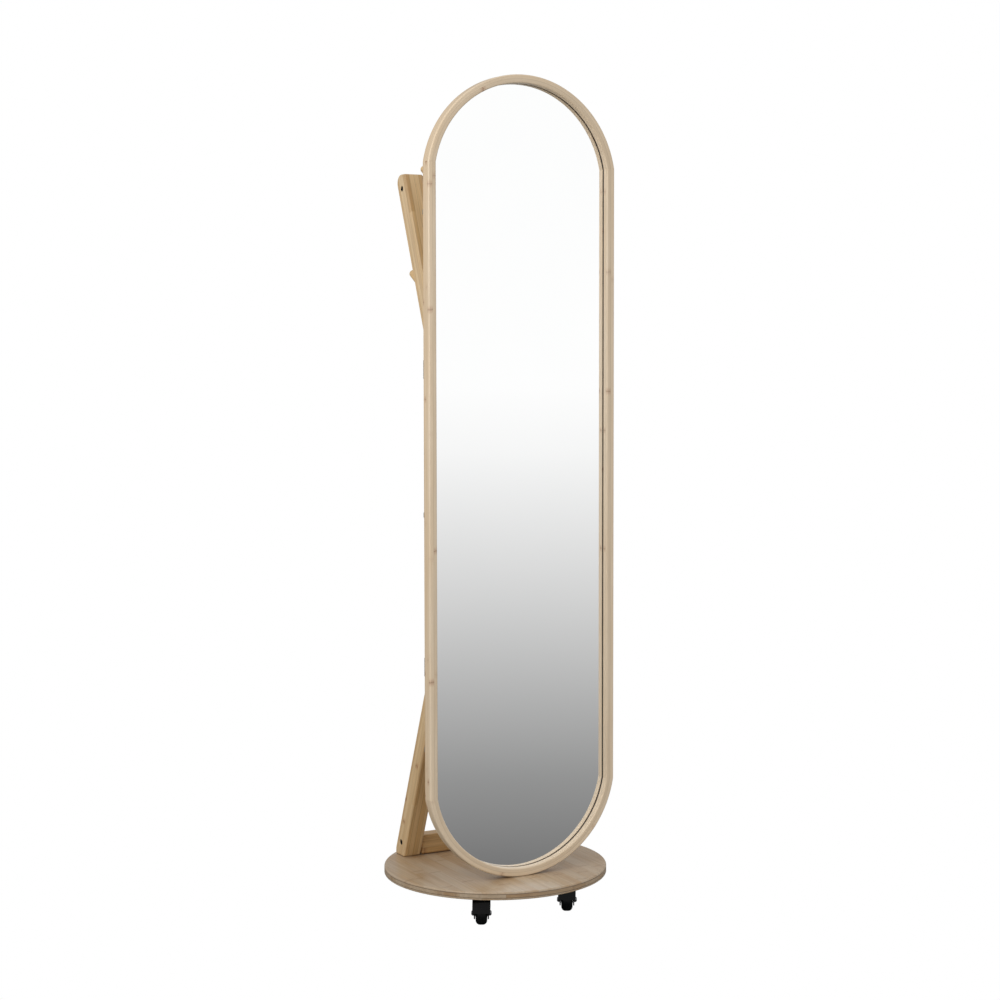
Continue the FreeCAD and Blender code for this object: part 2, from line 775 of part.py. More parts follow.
def make_caster_fork(name):
    """A crown that turns under the cup, a hood over the wheel and two cheeks for the axle."""
    body = new_body(f"caster_fork_{name}_body")
    axle = ("0 - wheel_trail", "wheel_radius")
    crown = new_sketch(body, "XY_Plane", "crown")
    crown.AttachmentOffset = FreeCAD.Placement(VECTOR(0, 0, value("crown_low")), FreeCAD.Rotation())
    crown.setExpression("AttachmentOffset.Base.z", bound("crown_low"))
    circle(crown, None, None, "crown_radius")
    pad(body, crown, "crown_high - crown_low")
    hood = new_sketch(body, "YZ_Plane", "hood")
    half_chord = "sqrt(pow(hood_radius; 2) - pow(hood_low - wheel_radius; 2))"
    start = math.asin(value("(hood_low - wheel_radius) / hood_radius"))
    ring = Part.Circle(VECTOR(value(axle[0]), value(axle[1]), 0), VECTOR(0, 0, 1), value("hood_radius"))
    arc = hood.addGeometry(Part.ArcOfCircle(ring, start, math.pi - start), False)
    bind_constraint(hood, "Radius", (arc,), "hood_radius")
    bind_constraint(hood, "DistanceX", (-1, 1, arc, 3), axle[0])
    bind_constraint(hood, "DistanceY", (-1, 1, arc, 3), axle[1])
    low = value("hood_low")
    reach = value(half_chord)
    chord = hood.addGeometry(Part.LineSegment(
        VECTOR(value(axle[0]) - reach, low, 0), VECTOR(value(axle[0]) + reach, low, 0)), False)
    hood.addConstraint(Sketcher.Constraint("Coincident", chord, 1, arc, 2))
    hood.addConstraint(Sketcher.Constraint("Coincident", chord, 2, arc, 1))
    bind_constraint(hood, "DistanceY", (-1, 1, chord, 1), "hood_low")
    hood.addConstraint(Sketcher.Constraint("Horizontal", chord))
    pad(body, hood, "hood_width", midplane=True)
    cheek = new_sketch(body, "YZ_Plane", "cheek")
    polygon(cheek, [
        (f"{axle[0]} + {half_chord} - 1", "hood_low + 1"), (f"{axle[0]} - {half_chord} + 1", "hood_low + 1"),
        (f"{axle[0]} - 2 * cheek_foot", "cheek_low + cheek_foot"), (f"{axle[0]} - cheek_foot", "cheek_low"),
        (f"{axle[0]} + cheek_foot", "cheek_low"), (f"{axle[0]} + 2 * cheek_foot", "cheek_low + cheek_foot"),
    ])
    pad(body, cheek, "fork_width", midplane=True)
    space = new_sketch(body, "YZ_Plane", "wheel_space")
    circle(space, axle[0], axle[1], "hood_inner")
    pocket(body, space, "fork_gap", midplane=True)
    eye = new_sketch(body, "YZ_Plane", "axle_eye")
    circle(eye, axle[0], axle[1], "axle_radius + axle_fit")
    pocket(body, eye, "hood_width + 2", midplane=True)
    pivot = new_sketch(body, "XY_Plane", "pivot_bore")
    circle(pivot, None, None, "pivot_radius + axle_fit")
    pocket(body, pivot, "crown_high + 1", backwards=True)
    head = new_sketch(body, "XY_Plane", "pivot_head_space")
    circle(head, None, None, "pivot_head_radius + 0.4")
    pocket(body, head, "crown_low", backwards=True)
    lift = value("crown_high")
    soften(body, "1", lambda edge: abs(edge.CenterOfMass.z - lift) < 0.01 and edge.Length > 100)
    return node(set_caster(body, name), f"caster_fork_{name}")


def turned_on_axle(label, corners, rounds):
    """A piece turned about the wheel's axle, drawn across the axle's length."""
    body = new_body(label + "_turned")
    outline = new_sketch(body, "XY_Plane", "profile")
    polygon(outline, corners)
    revolve(body, outline, "H_Axis")
    if rounds:
        radius, wanted = rounds
        soften(body, radius, wanted)
    return body


def make_caster_wheel(name):
    """A soft tyre pressed on a hard hub, which turns on the axle."""
    half = "(wheel_width / 2)"
    rim = value("wheel_radius")
    tyre = turned_on_axle(f"caster_tyre_{name}", [
        (f"0 - {half}", "tyre_inner"), (half, "tyre_inner"), (half, "wheel_radius"),
        (f"0 - {half}", "wheel_radius")], ("tyre_round", lambda edge: edge.Length > 6 * rim))
    bore = "axle_radius + axle_fit"
    boss = "(hub_width / 2)"
    web = "(wheel_width / 2 - 2.5)"
    hub = turned_on_axle(f"caster_hub_{name}", [
        (f"0 - {boss}", bore), (boss, bore), (boss, "hub_boss"), (web, "hub_boss + 1.5"),
        (web, "tyre_inner - 2"), (f"{half} - 0.8", "tyre_inner"), (f"0.8 - {half}", "tyre_inner"),
        (f"0 - {web}", "tyre_inner - 2"), (f"0 - {web}", "hub_boss + 1.5"),
        (f"0 - {boss}", "hub_boss")], None)
    for body, label in ((tyre, "caster_tyre"), (hub, "caster_hub")):
        node(set_on_axle(body, name), f"{label}_{name}")


def set_on_axle(body, name):
    """Move a piece drawn about the origin to a caster's axle."""
    x, y, heading = CASTERS[name]
    across = f"{math.sin(math.radians(heading)):.9f} * wheel_trail"
    along = f"{math.cos(math.radians(heading)):.9f} * wheel_trail"
    return place(body, (f"{x} + {across}", f"{y} - {along}", "wheel_radius"),
                 FreeCAD.Rotation(VECTOR(0, 0, 1), heading))


def make_caster_axle(name):
    """The axle bolt with its domed head, and the domed nut on its other end."""
    face = "(fork_width / 2)"
    tip = "(fork_width / 2 + axle_head_thick)"
    dome = ("axle_head_round", lambda edge: domed_edge(edge, value(tip)))
    bolt = turned_on_axle(f"caster_axle_{name}", [
        (f"0 - {tip}", "0.001"), (f"{tip} - 2.5", "0.001"), (f"{tip} - 2.5", "axle_radius"),
        (f"0 - {face}", "axle_radius"), (f"0 - {face}", "axle_head_radius"),
        (f"0 - {tip}", "axle_head_radius")], dome)
    node(set_on_axle(bolt, name), f"caster_axle_{name}")
    inner = "axle_radius + axle_fit"
    nut = turned_on_axle(f"caster_nut_{name}", [
        (face, inner), (f"{tip} - 2.3", inner), (f"{tip} - 2.3", "0.001"), (tip, "0.001"),
        (tip, "axle_head_radius"), (face, "axle_head_radius")], dome)
    node(set_on_axle(nut, name), f"caster_nut_{name}")


def domed_edge(edge, tip):
    """The outer rim of an axle's head or nut."""
    on_tip = abs(abs(edge.CenterOfMass.x) - tip) < 0.01
    return on_tip and edge.Length > 6 * value("axle_head_radius")


# ---------------------------------------------------------------- fasteners


# head radius, head height, shank radius and shank length of each screw
SCREWS = {
    "foot_screws": (4.8, 2.8, 2.2, 32),
    "frame_foot_screws": (4.8, 2.8, 2.0, 25),
    "limb_screws": (5, 3, 2.6, 50),
    "post_screws": (4.4, 2.4, 2, 26),
    "stile_screws": (3, 1.6, 1.5, 16),
    "caster_screws": (3.5, 2, 1.8, 12),
    "clip_screws": (2.8, 1.4, 1.4, 11),
}


def screw(head_radius, head_thick, shank_radius, shank_length):
    """A screw that points up: its head starts at the origin and its shank follows."""
    head = Part.makeCone(head_radius, shank_radius, head_thick)
    shank = Part.makeCylinder(shank_radius, shank_length, VECTOR(0, 0, head_thick))
    slot = Part.makeBox(head_radius * 1.2, 0.9, 1, VECTOR(-head_radius * 0.6, -0.45, 0))
    cross = slot.copy()
    cross.rotate(VECTOR(), VECTOR(0, 0, 1), 90)
    return head.fuse(shank).cut(slot.fuse(cross)).removeSplitter()


def pan_screw(head_radius, head_thick, shank_radius, shank_length):
    """A screw with a raised head that points up: the head's underside is at the origin."""
    head = Part.makeCylinder(head_radius, head_thick, VECTOR(0, 0, -head_thick))
    head = head.makeFillet(head_thick * 0.6, [edge for edge in head.Edges
                                              if edge.Length > 3 * head_radius
                                              and edge.CenterOfMass.z < -head_thick / 2])
    slot = Part.makeBox(head_radius * 1.1, 0.8, 1, VECTOR(-head_radius * 0.55, -0.4, -head_thick))
    cross = slot.copy()
    cross.rotate(VECTOR(), VECTOR(0, 0, 1), 90)
    shank = Part.makeCylinder(shank_radius, shank_length)
    return head.cut(slot.fuse(cross)).fuse(shank).removeSplitter()


def cross_bolt():
    """A socket-head bolt that points up, with its head at the origin."""
    head = Part.makeCylinder(value("head_radius"), value("head_thick"))
    shank = Part.makeCylinder(value("bolt_radius"), value("bolt_length"), VECTOR(0, 0, value("head_thick")))
    corner = value("socket_width") / math.sqrt(3)
    turns = [math.radians(60 * step) for step in range(7)]
    hexagon = Part.makePolygon([VECTOR(corner * math.cos(t), corner * math.sin(t), 0) for t in turns])
    socket = Part.Face(hexagon).extrude(VECTOR(0, 0, value("head_thick") * 0.6))
    return head.fuse(shank).removeSplitter().cut(socket)


def make_fasteners():
    upward = [spot(x, y, value("base_top - base_thick + 0.2"), "+Z") for x, y in foot_screw_places()]
    scatter("foot_screws", screw(*SCREWS["foot_screws"]), upward[:6])
    scatter("frame_foot_screws", screw(*SCREWS["frame_foot_screws"]), upward[6:])
    make_cross_bolts()
    make_post_screws()
    make_clips()
    places = []
    for x, y, heading in CASTERS.values():
        middle = VECTOR(value(x), value(y), value("base_top - base_thick - plate_thick"))
        turned = FreeCAD.Placement(middle, FreeCAD.Rotation(VECTOR(0, 0, 1), heading))
        places += [turned.multiply(spot(value(across), value(along), 0, "+Z"))
                   for across, along in plate_hole_places()]
    scatter("caster_screws", pan_screw(*SCREWS["caster_screws"]), places)


def make_cross_bolts():
    """Four bolts through the limbs into the rails, their barrel nuts, and the dowels beside them."""
    rows = [("foot_bolt_y", "foot_bolt_z", ["- 17"]), ("head_bolt_y", "head_bolt_z", ["- 14", "+ 14"])]
    bolts, nuts, dowels = [], [], []
    sunk = value("limb_outer - head_sunk + head_thick")
    for y_name, z_name, offsets in rows:
        y, z = value(y_name), value(z_name)
        for side in SIDES.values():
            inwards = "-X" if side > 0 else "+X"
            bolts.append(spot(side * sunk, y, z, inwards))
            nut_x = side * value(f"{RAIL_END} - barrel_inset")
            nuts.append(spot(nut_x, y - value("barrel_length / 2"), z, "+Y"))
            for offset in offsets:
                start = value(f"{RAIL_END} + dowel_length / 2")
                dowels.append(spot(side * start, y, value(f"{z_name} {offset}"), inwards))
    scatter("cross_bolts", cross_bolt(), bolts)
    barrel = Part.makeCylinder(value("barrel_radius"), value("barrel_length"))
    middle = VECTOR(-10, 0, value("barrel_length / 2"))
    thread = Part.makeCylinder(value("bolt_radius + axle_fit"), 20, middle, VECTOR(1, 0, 0))
    scatter("barrel_nuts", barrel.cut(thread), nuts)
    scatter("rail_dowels", Part.makeCylinder(value("dowel_radius"), value("dowel_length")), dowels)


def make_post_screws():
    """Long screws from the posts into the legs and arms, and the short ones of the steel straps."""
    middle = value("limb_outer - limb_section / 2")
    heights = [value(name) for name in ("leg_screw_low", "leg_screw_high", "arm_screw_low", "arm_screw_high")]
    long_ones = [spot(side * middle, value(POST_FRONT), z, "+Y") for side in SIDES.values() for z in heights]
    scatter("limb_screws", screw(*SCREWS["limb_screws"]), long_ones)
    front = value("frame_depth - frame_front")
    rear = value(POST_FRONT)
    middles = [value(f"{low} + strap_tall / 2") for low in ("strap_low", "strap_high")]
    post_step = value("strap_post_step")
    end_step = value("strap_end_step")
    into_posts = [spot(side * middle, front + 0.1, z + step, "+Y")
                  for side in SIDES.values() for z in middles for step in (-post_step, post_step)]
    scatter("post_screws", screw(*SCREWS["post_screws"]), into_posts)
    end_x = value("strap_end_hole")
    into_stiles = [spot(side * end_x, rear, z + step, "-Y")
                   for side in SIDES.values() for z in middles for step in (-end_step, end_step)]
    scatter("stile_screws", pan_screw(*SCREWS["stile_screws"]), into_stiles)


def make_clips():
    """Small plates screwed to the back of the frame, which hold the back board in."""
    back = value("frame_depth - frame_front")
    half_wall = value("rebate_wall / 2")
    side_x = value("frame_width / 2") - half_wall
    thick = value("clip_thick")
    length = value("clip_length")
    width = value("clip_width")
    plate = Part.makeBox(length, width, thick, VECTOR(-value("clip_back"), -width / 2, 0))
    upright = [edge for edge in plate.Edges if abs(edge.Length - thick) < 0.01]
    plate = plate.makeFillet(value("clip_corner"), upright)
    plate = plate.cut(Part.makeCylinder(value("clip_bore"), thick))
    heights = [value(name) for name in ("clip_low", "clip_middle", "clip_high")]
    places = [(side * side_x, z, 90 + 90 * side) for side in SIDES.values() for z in heights]
    places.append((0, value("base_top + frame_height") - half_wall, 90))
    places.append((0, value("base_top") + half_wall, -90))
    clips = []
    for x, z, turn in places:
        lay = FreeCAD.Placement(VECTOR(x, back, z), FreeCAD.Rotation(VECTOR(1, 0, 0), -90))
        clips.append(lay.multiply(FreeCAD.Placement(VECTOR(), FreeCAD.Rotation(VECTOR(0, 0, 1), turn))))
    scatter("board_clips", plate, clips)
    screws = [spot(x, back + thick, z, "-Y") for x, z, turn in places]
    scatter("clip_screws", pan_screw(*SCREWS["clip_screws"]), screws)


# ---------------------------------------------------------------- the whole model


def build():
    make_base()
    for name, side in SIDES.items():
        make_leg(name, side)
        make_arm(name, side)
        make_post(name, side)
        make_stile(name, side)
        make_peg(f"arm_peg_{name}", peg_origin(side))
    make_foot_rail()
    make_head_rail()
    make_strap("strap_lower", "strap_low")
    make_strap("strap_upper", "strap_high")
    for end in ARCH_CENTRE:
        make_arch(end)
    make_filling()
    for count, name in zip((-1, 0, 1), ("left", "middle", "right")):
        make_peg(f"rail_peg_{name}", rail_peg_origin(count))
    for name in CASTERS:
        make_caster_plate(name)
        make_caster_fork(name)
        make_caster_wheel(name)
        make_caster_axle(name)
    make_fasteners()


def check_and_write():
    doc.recompute()
    faults = [obj.Label for obj in doc.Objects if {"Invalid", "Error"} & set(obj.State)]
    faults += [obj.Label for obj in nodes if obj.Shape.isNull() or not obj.Shape.isValid()]
    if faults:
        raise RuntimeError("failed: " + ", ".join(faults))
    os.makedirs("parts", exist_ok=True)
    for obj in nodes:
        obj.Shape.exportStep(f"parts/{obj.Label}.step")


build()
check_and_write()
print(len(nodes), "nodes")
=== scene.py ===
"""Looks of the rolling floor mirror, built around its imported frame.

Metres, +Z up, the mirror faces -Y. Wooden pieces are modelled here with eased edges and carry a
point attribute called grain: how far a point lies along the wood, across it and through it. The
bamboo material cuts its strips from that, so strips follow the arches and the slanting limbs.
"""

import math

import bmesh
import bpy
from mathutils import Euler, Matrix, Vector


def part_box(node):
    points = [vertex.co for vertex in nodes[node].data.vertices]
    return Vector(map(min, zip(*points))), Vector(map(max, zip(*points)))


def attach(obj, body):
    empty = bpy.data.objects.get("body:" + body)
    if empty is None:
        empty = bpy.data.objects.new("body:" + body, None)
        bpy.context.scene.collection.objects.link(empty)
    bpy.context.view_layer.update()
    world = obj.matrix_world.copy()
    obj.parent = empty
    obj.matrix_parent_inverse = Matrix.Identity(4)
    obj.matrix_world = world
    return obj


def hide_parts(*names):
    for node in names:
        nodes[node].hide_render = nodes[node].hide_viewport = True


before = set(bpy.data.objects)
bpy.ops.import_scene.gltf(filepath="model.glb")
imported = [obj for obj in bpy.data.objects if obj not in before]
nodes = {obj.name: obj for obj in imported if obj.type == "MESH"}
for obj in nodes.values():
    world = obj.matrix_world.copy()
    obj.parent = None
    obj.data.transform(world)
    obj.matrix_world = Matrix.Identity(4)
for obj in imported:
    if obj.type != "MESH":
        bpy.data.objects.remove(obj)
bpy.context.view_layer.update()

MM = 0.001
SIDES = {"left": -1, "right": 1}
STAND = "stand"

# camera
CAMERA_PLACE = (-1.868, -3.4524, 1.1157)
CAMERA_YAW = 29.2
CAMERA_PITCH = -3.37
CAMERA_ROLL = -0.05
LENS = 72.94
SHIFT = (-0.02234, -0.04685)

# bamboo: distance between knuckles, and how far one strip's knuckles and pattern lie from the next's
KNUCKLE_PITCH = 0.23
BASE_KNUCKLE_PITCH = 0.24
KNUCKLE_SHIFT = 5.3
STRIP_SHIFT = 3.7
BASE_STRIP_WIDTH = 25 * MM
BASE_STRIP_LENGTH = 0.36

# metres of wood between the stretches that two pieces are cut from
SEED_STRETCH = 7.3

# how bright the room behind the object looks in glossy surfaces, beside the room in front of it
BACK_SHARE = 0.4

# what glossy surfaces see of the room: degrees above the horizon, and the grey there, 0 to 255
MIRRORED_SHADES = ((-30, 84), (-15, 118), (-12.5, 148), (-10.3, 178), (-7.5, 211), (-3.3, 248),
                   (-1.5, 255))

# where a mix node keeps its two colours and its result
COLOUR_A, COLOUR_B, COLOUR_OUT = 6, 7, 2

# the light that the room sheds from below and from above
AMBIENT_LOW = (0.02, 0.012, 0.006, 1)
AMBIENT_HIGH = (0.84, 0.835, 0.83, 1)

# rounding of the wooden edges
FRAME_ROUND = 2.8 * MM
LIP_ROUND = 2.6 * MM
EASED = 0.4 * MM
LIMB_ROUND = 3.8 * MM
LIMB_LEAN = math.radians(21.5)
ARM_CORNER = 18 * MM

# how many straight steps a bent and a straight frame piece are made of, and how far in from its ends
# the first whole section lies, as a share of the length
ARCH_STEPS, ARCH_EASE = 128, 0.0008
STILE_STEPS, STILE_EASE = 24, 0.0002

# sides of a round cutter
DRILL_SIDES = 40

# base board: sides of its outline, depth of its glue lines below the top, and the groove at each
BASE_SIDES = 224
PLIES = (4 * MM, 11 * MM)
GROOVE = 0.6 * MM
RIM_LOW_ROUND = 1.6 * MM
RIM_TOP_ROUND = 3 * MM

# screws up into the base: bore, head bore and its depth
SCREW_BORE = 2.6 * MM
SCREW_HEAD = 5.2 * MM
SCREW_SUNK = 3.2 * MM
LEG_SCREWS_Y = (0.132, 0.147)
RAIL_SCREW_X = 0.046
FRAME_SCREW_X = 0.014

# cross bolts in the legs and arms: head, its bore, depth and countersink, and the bolt's own bore
BOLT_HEAD = 5 * MM
BOLT_HEAD_BORE = 5.6 * MM
BOLT_SUNK = 5.5 * MM
BOLT_MOUTH = 0.5 * MM
BOLT_BORE = 3.2 * MM


# ------------------------------------------------------------------ shader graphs


class Graph:
    """Builds one material's nodes with short calls; a value may be a number or a socket."""

    def __init__(self, name):
        self.material = bpy.data.materials.new(name)
        self.material.use_nodes = True
        self.tree = self.material.node_tree
        self.shader = self.tree.nodes["Principled BSDF"]

    def feed(self, socket, value):
        if isinstance(value, bpy.types.NodeSocket):
            self.tree.links.new(value, socket)
        elif value is not None:
            socket.default_value = value

    def node(self, kind, **settings):
        made = self.tree.nodes.new(kind)
        for key, value in settings.items():
            setattr(made, key, value)
        return made

    def math(self, operation, first, second=None):
        made = self.node("ShaderNodeMath", operation=operation)
        for socket, value in zip(made.inputs, (first, second)):
            self.feed(socket, value)
        return made.outputs[0]

    def add(self, first, second):
        return self.math("ADD", first, second)

    def minus(self, first, second):
        return self.math("SUBTRACT", first, second)

    def times(self, first, second):
        return self.math("MULTIPLY", first, second)

    def over(self, first, second):
        return self.math("DIVIDE", first, second)

    def place(self):
        """The point in the object's own frame; that is one frame for all, as each sits at the origin."""
        return self.node("ShaderNodeTexCoord").outputs["Object"]

    def grain(self):
        return self.node("ShaderNodeAttribute", attribute_name="grain").outputs["Vector"]

    def parts(self, vector):
        made = self.node("ShaderNodeSeparateXYZ")
        self.feed(made.inputs[0], vector)
        return made.outputs[:3]

    def join(self, x, y, z):
        made = self.node("ShaderNodeCombineXYZ")
        for socket, value in zip(made.inputs, (x, y, z)):
            self.feed(socket, value)
        return made.outputs[0]

    def noise(self, vector, scale, detail=2.0, roughness=0.5, stretch=None):
        if stretch:
            scaled = self.node("ShaderNodeVectorMath", operation="MULTIPLY")
            self.feed(scaled.inputs[0], vector)
            self.feed(scaled.inputs[1], stretch)
            vector = scaled.outputs[0]
        made = self.node("ShaderNodeTexNoise")
        self.feed(made.inputs["Vector"], vector)
        self.feed(made.inputs["Scale"], scale)
        self.feed(made.inputs["Detail"], detail)
        self.feed(made.inputs["Roughness"], roughness)
        return made.outputs["Fac"]

    def random(self, vector):
        made = self.node("ShaderNodeTexWhiteNoise", noise_dimensions="3D")
        self.feed(made.inputs["Vector"], vector)
        return made.outputs["Value"]

    def ramp(self, factor, stops):
        made = self.node("ShaderNodeValToRGB")
        self.feed(made.inputs[0], factor)
        band = made.color_ramp
        while len(band.elements) < len(stops):
            band.elements.new(1.0)
        for element, (position, colour) in zip(band.elements, stops):
            element.position = position
            element.color = (*colour, 1.0)
        return made.outputs[0]

    def span(self, value, low, high, to_low=0.0, to_high=1.0):
        made = self.node("ShaderNodeMapRange", interpolation_type="SMOOTHSTEP")
        for socket, part in zip(made.inputs, (value, low, high, to_low, to_high)):
            self.feed(socket, part)
        return made.outputs[0]

    def mix(self, factor, first, second, blend="MIX"):
        made = self.node("ShaderNodeMix", data_type="RGBA", blend_type=blend)
        colours = [socket for socket in made.inputs if socket.type == "RGBA"]
        self.feed(made.inputs["Factor"], factor)
        for socket, value in zip(colours, (first, second)):
            self.feed(socket, (*value, 1.0) if isinstance(value, tuple) else value)
        return next(socket for socket in made.outputs if socket.type == "RGBA")

    def bump(self, height, distance, strength=1.0):
        made = self.node("ShaderNodeBump")
        self.feed(made.inputs["Height"], height)
        self.feed(made.inputs["Distance"], distance)
        self.feed(made.inputs["Strength"], strength)
        self.feed(self.shader.inputs["Normal"], made.outputs[0])

    def finish(self, colour, roughness, constants=None):
        """Connect the colour and roughness, and set what is the same all over on the shader itself."""
        self.feed(self.shader.inputs["Base Color"], colour)
        self.feed(self.shader.inputs["Roughness"], roughness)
        for name, value in (constants or {}).items():
            self.shader.inputs[name].default_value = value
        return self.material


def linear(red, green, blue):
    """A colour given as 0 to 255 on a screen, as the light it stands for."""
    def channel(value):
        share = value / 255
        return share / 12.92 if share <= 0.04045 else ((share + 0.055) / 1.055) ** 2.4
    return (channel(red), channel(green), channel(blue))


# ------------------------------------------------------------------ materials


def bamboo(name, tones, strip, shift=(0.0, 0.0), run=1.5, vector="grain", fade=0.0, figure=0.05,
           seam_strength=0.3, skin=None, gloss=0.36):
    """Laminated bamboo: strips of uneven tone, fibres, pores, knuckles and thin glue lines.

    strip is the width of a strip across and through the wood, and shift moves the first seams off
    the faces. run is how long a strip goes on before a butt joint; with none, strips never end.
    fade darkens each lamination a little more than the one outside it. skin is how far from the
    middle the outer plies begin, and their tint; the tint is painted light, making the side faces
    paler and cooler as if lit, beside a core tone kept warmer for the faces in shade."""
    graph = Graph(name)
    source = graph.grain() if vector == "grain" else graph.place()
    along, across, through = graph.parts(source)
    column = graph.over(graph.add(across, shift[0]), strip[0])
    layer = graph.over(graph.add(through, shift[1]), strip[1])
    column_id = graph.math("FLOOR", column)
    layer_id = graph.math("FLOOR", layer)
    piece_id = 0.0
    if run:
        stagger = graph.random(graph.join(column_id, layer_id, 7.0))
        piece_id = graph.math("FLOOR", graph.add(graph.over(along, run), stagger))
    tone = graph.random(graph.join(column_id, layer_id, piece_id))
    own = graph.join(along, graph.add(across, graph.times(tone, STRIP_SHIFT)), through)

    fibre = graph.noise(own, 1.0, 4.0, 0.62, (9.0, 900.0, 900.0))
    broad = graph.noise(own, 1.0, 3.0, 0.5, (5.0, 60.0, 60.0))
    veins = graph.noise(own, 1.0, 3.0, 0.6, (11.0, 330.0, 330.0))
    pores = graph.span(graph.noise(own, 1.0, 2.0, 0.6, (70.0, 2000.0, 2000.0)), 0.60, 0.74)
    drift = graph.noise(source, 1.0, 2.0, 0.5, (2.2, 9.0, 9.0))

    level = graph.add(graph.times(tone, 0.55), graph.times(broad, 0.45))
    level = graph.add(level, graph.times(graph.minus(drift, 0.5), 0.4))
    colour = graph.ramp(level, tones)
    if fade:
        shade = graph.minus(1.0, graph.times(column_id, fade))
        colour = graph.mix(1.0, colour, graph.join(shade, shade, shade), "MULTIPLY")
    streak = graph.times(graph.span(fibre, 0.28, 0.72, 0.96, 1.02),
                        graph.span(veins, 0.30, 0.70, 1.0 - figure, 1.0 + figure * 0.6))
    colour = graph.mix(1.0, colour, graph.join(streak, streak, streak), "MULTIPLY")
    # painted light: the outer plies on the side faces are tinted paler and cooler, as lit faces
    if skin:
        start, tint = skin
        pale = graph.span(graph.math("ABSOLUTE", across), start - 0.15 * MM, start + 0.15 * MM)
        colour = graph.mix(pale, colour, graph.mix(1.0, colour, tint, "MULTIPLY"))

    phase = graph.add(graph.over(along, KNUCKLE_PITCH), graph.times(tone, KNUCKLE_SHIFT))
    waver = graph.noise(own, 1.0, 2.0, 0.5, (30.0, 380.0, 380.0))
    phase = graph.add(phase, graph.times(graph.minus(waver, 0.5), 0.03))
    offset = graph.math("ABSOLUTE", graph.minus(graph.math("FRACT", phase), 0.5))
    ring = graph.math("FLOOR", phase)
    chance = graph.random(graph.join(graph.add(ring, piece_id), column_id, layer_id))
    halo = graph.times(graph.span(offset, 0.006, 0.040, 1.0, 0.0), graph.span(chance, 0.45, 0.95))
    line = graph.times(graph.span(offset, 0.002, 0.008, 1.0, 0.0), graph.span(chance, 0.50, 0.90))
    colour = graph.mix(graph.times(halo, 0.42), colour, linear(186, 134, 100), "MULTIPLY")
    colour = graph.mix(graph.times(line, 0.50), colour, linear(134, 92, 62))
    colour = graph.mix(graph.times(pores, 0.18), colour, linear(128, 96, 66))

    seam_column = graph.times(graph.math("PINGPONG", column, 0.5), strip[0] / MM)
    seam_layer = graph.times(graph.math("PINGPONG", layer, 0.5), strip[1] / MM)
    seam = graph.span(graph.math("MINIMUM", seam_column, seam_layer), 0.08, 0.50, 1.0, 0.0)
    colour = graph.mix(graph.times(seam, seam_strength), colour, linear(116, 92, 60))

    height = graph.minus(graph.times(fibre, 0.5), graph.times(pores, 0.6))
    height = graph.minus(height, graph.times(seam, 0.6))
    graph.bump(height, 0.04 * MM, 0.5)
    roughness = graph.span(fibre, 0.2, 0.8, gloss + 0.10, gloss - 0.04)
    return graph.finish(colour, roughness, {"Coat Weight": 0.2, "Coat Roughness": 0.25})


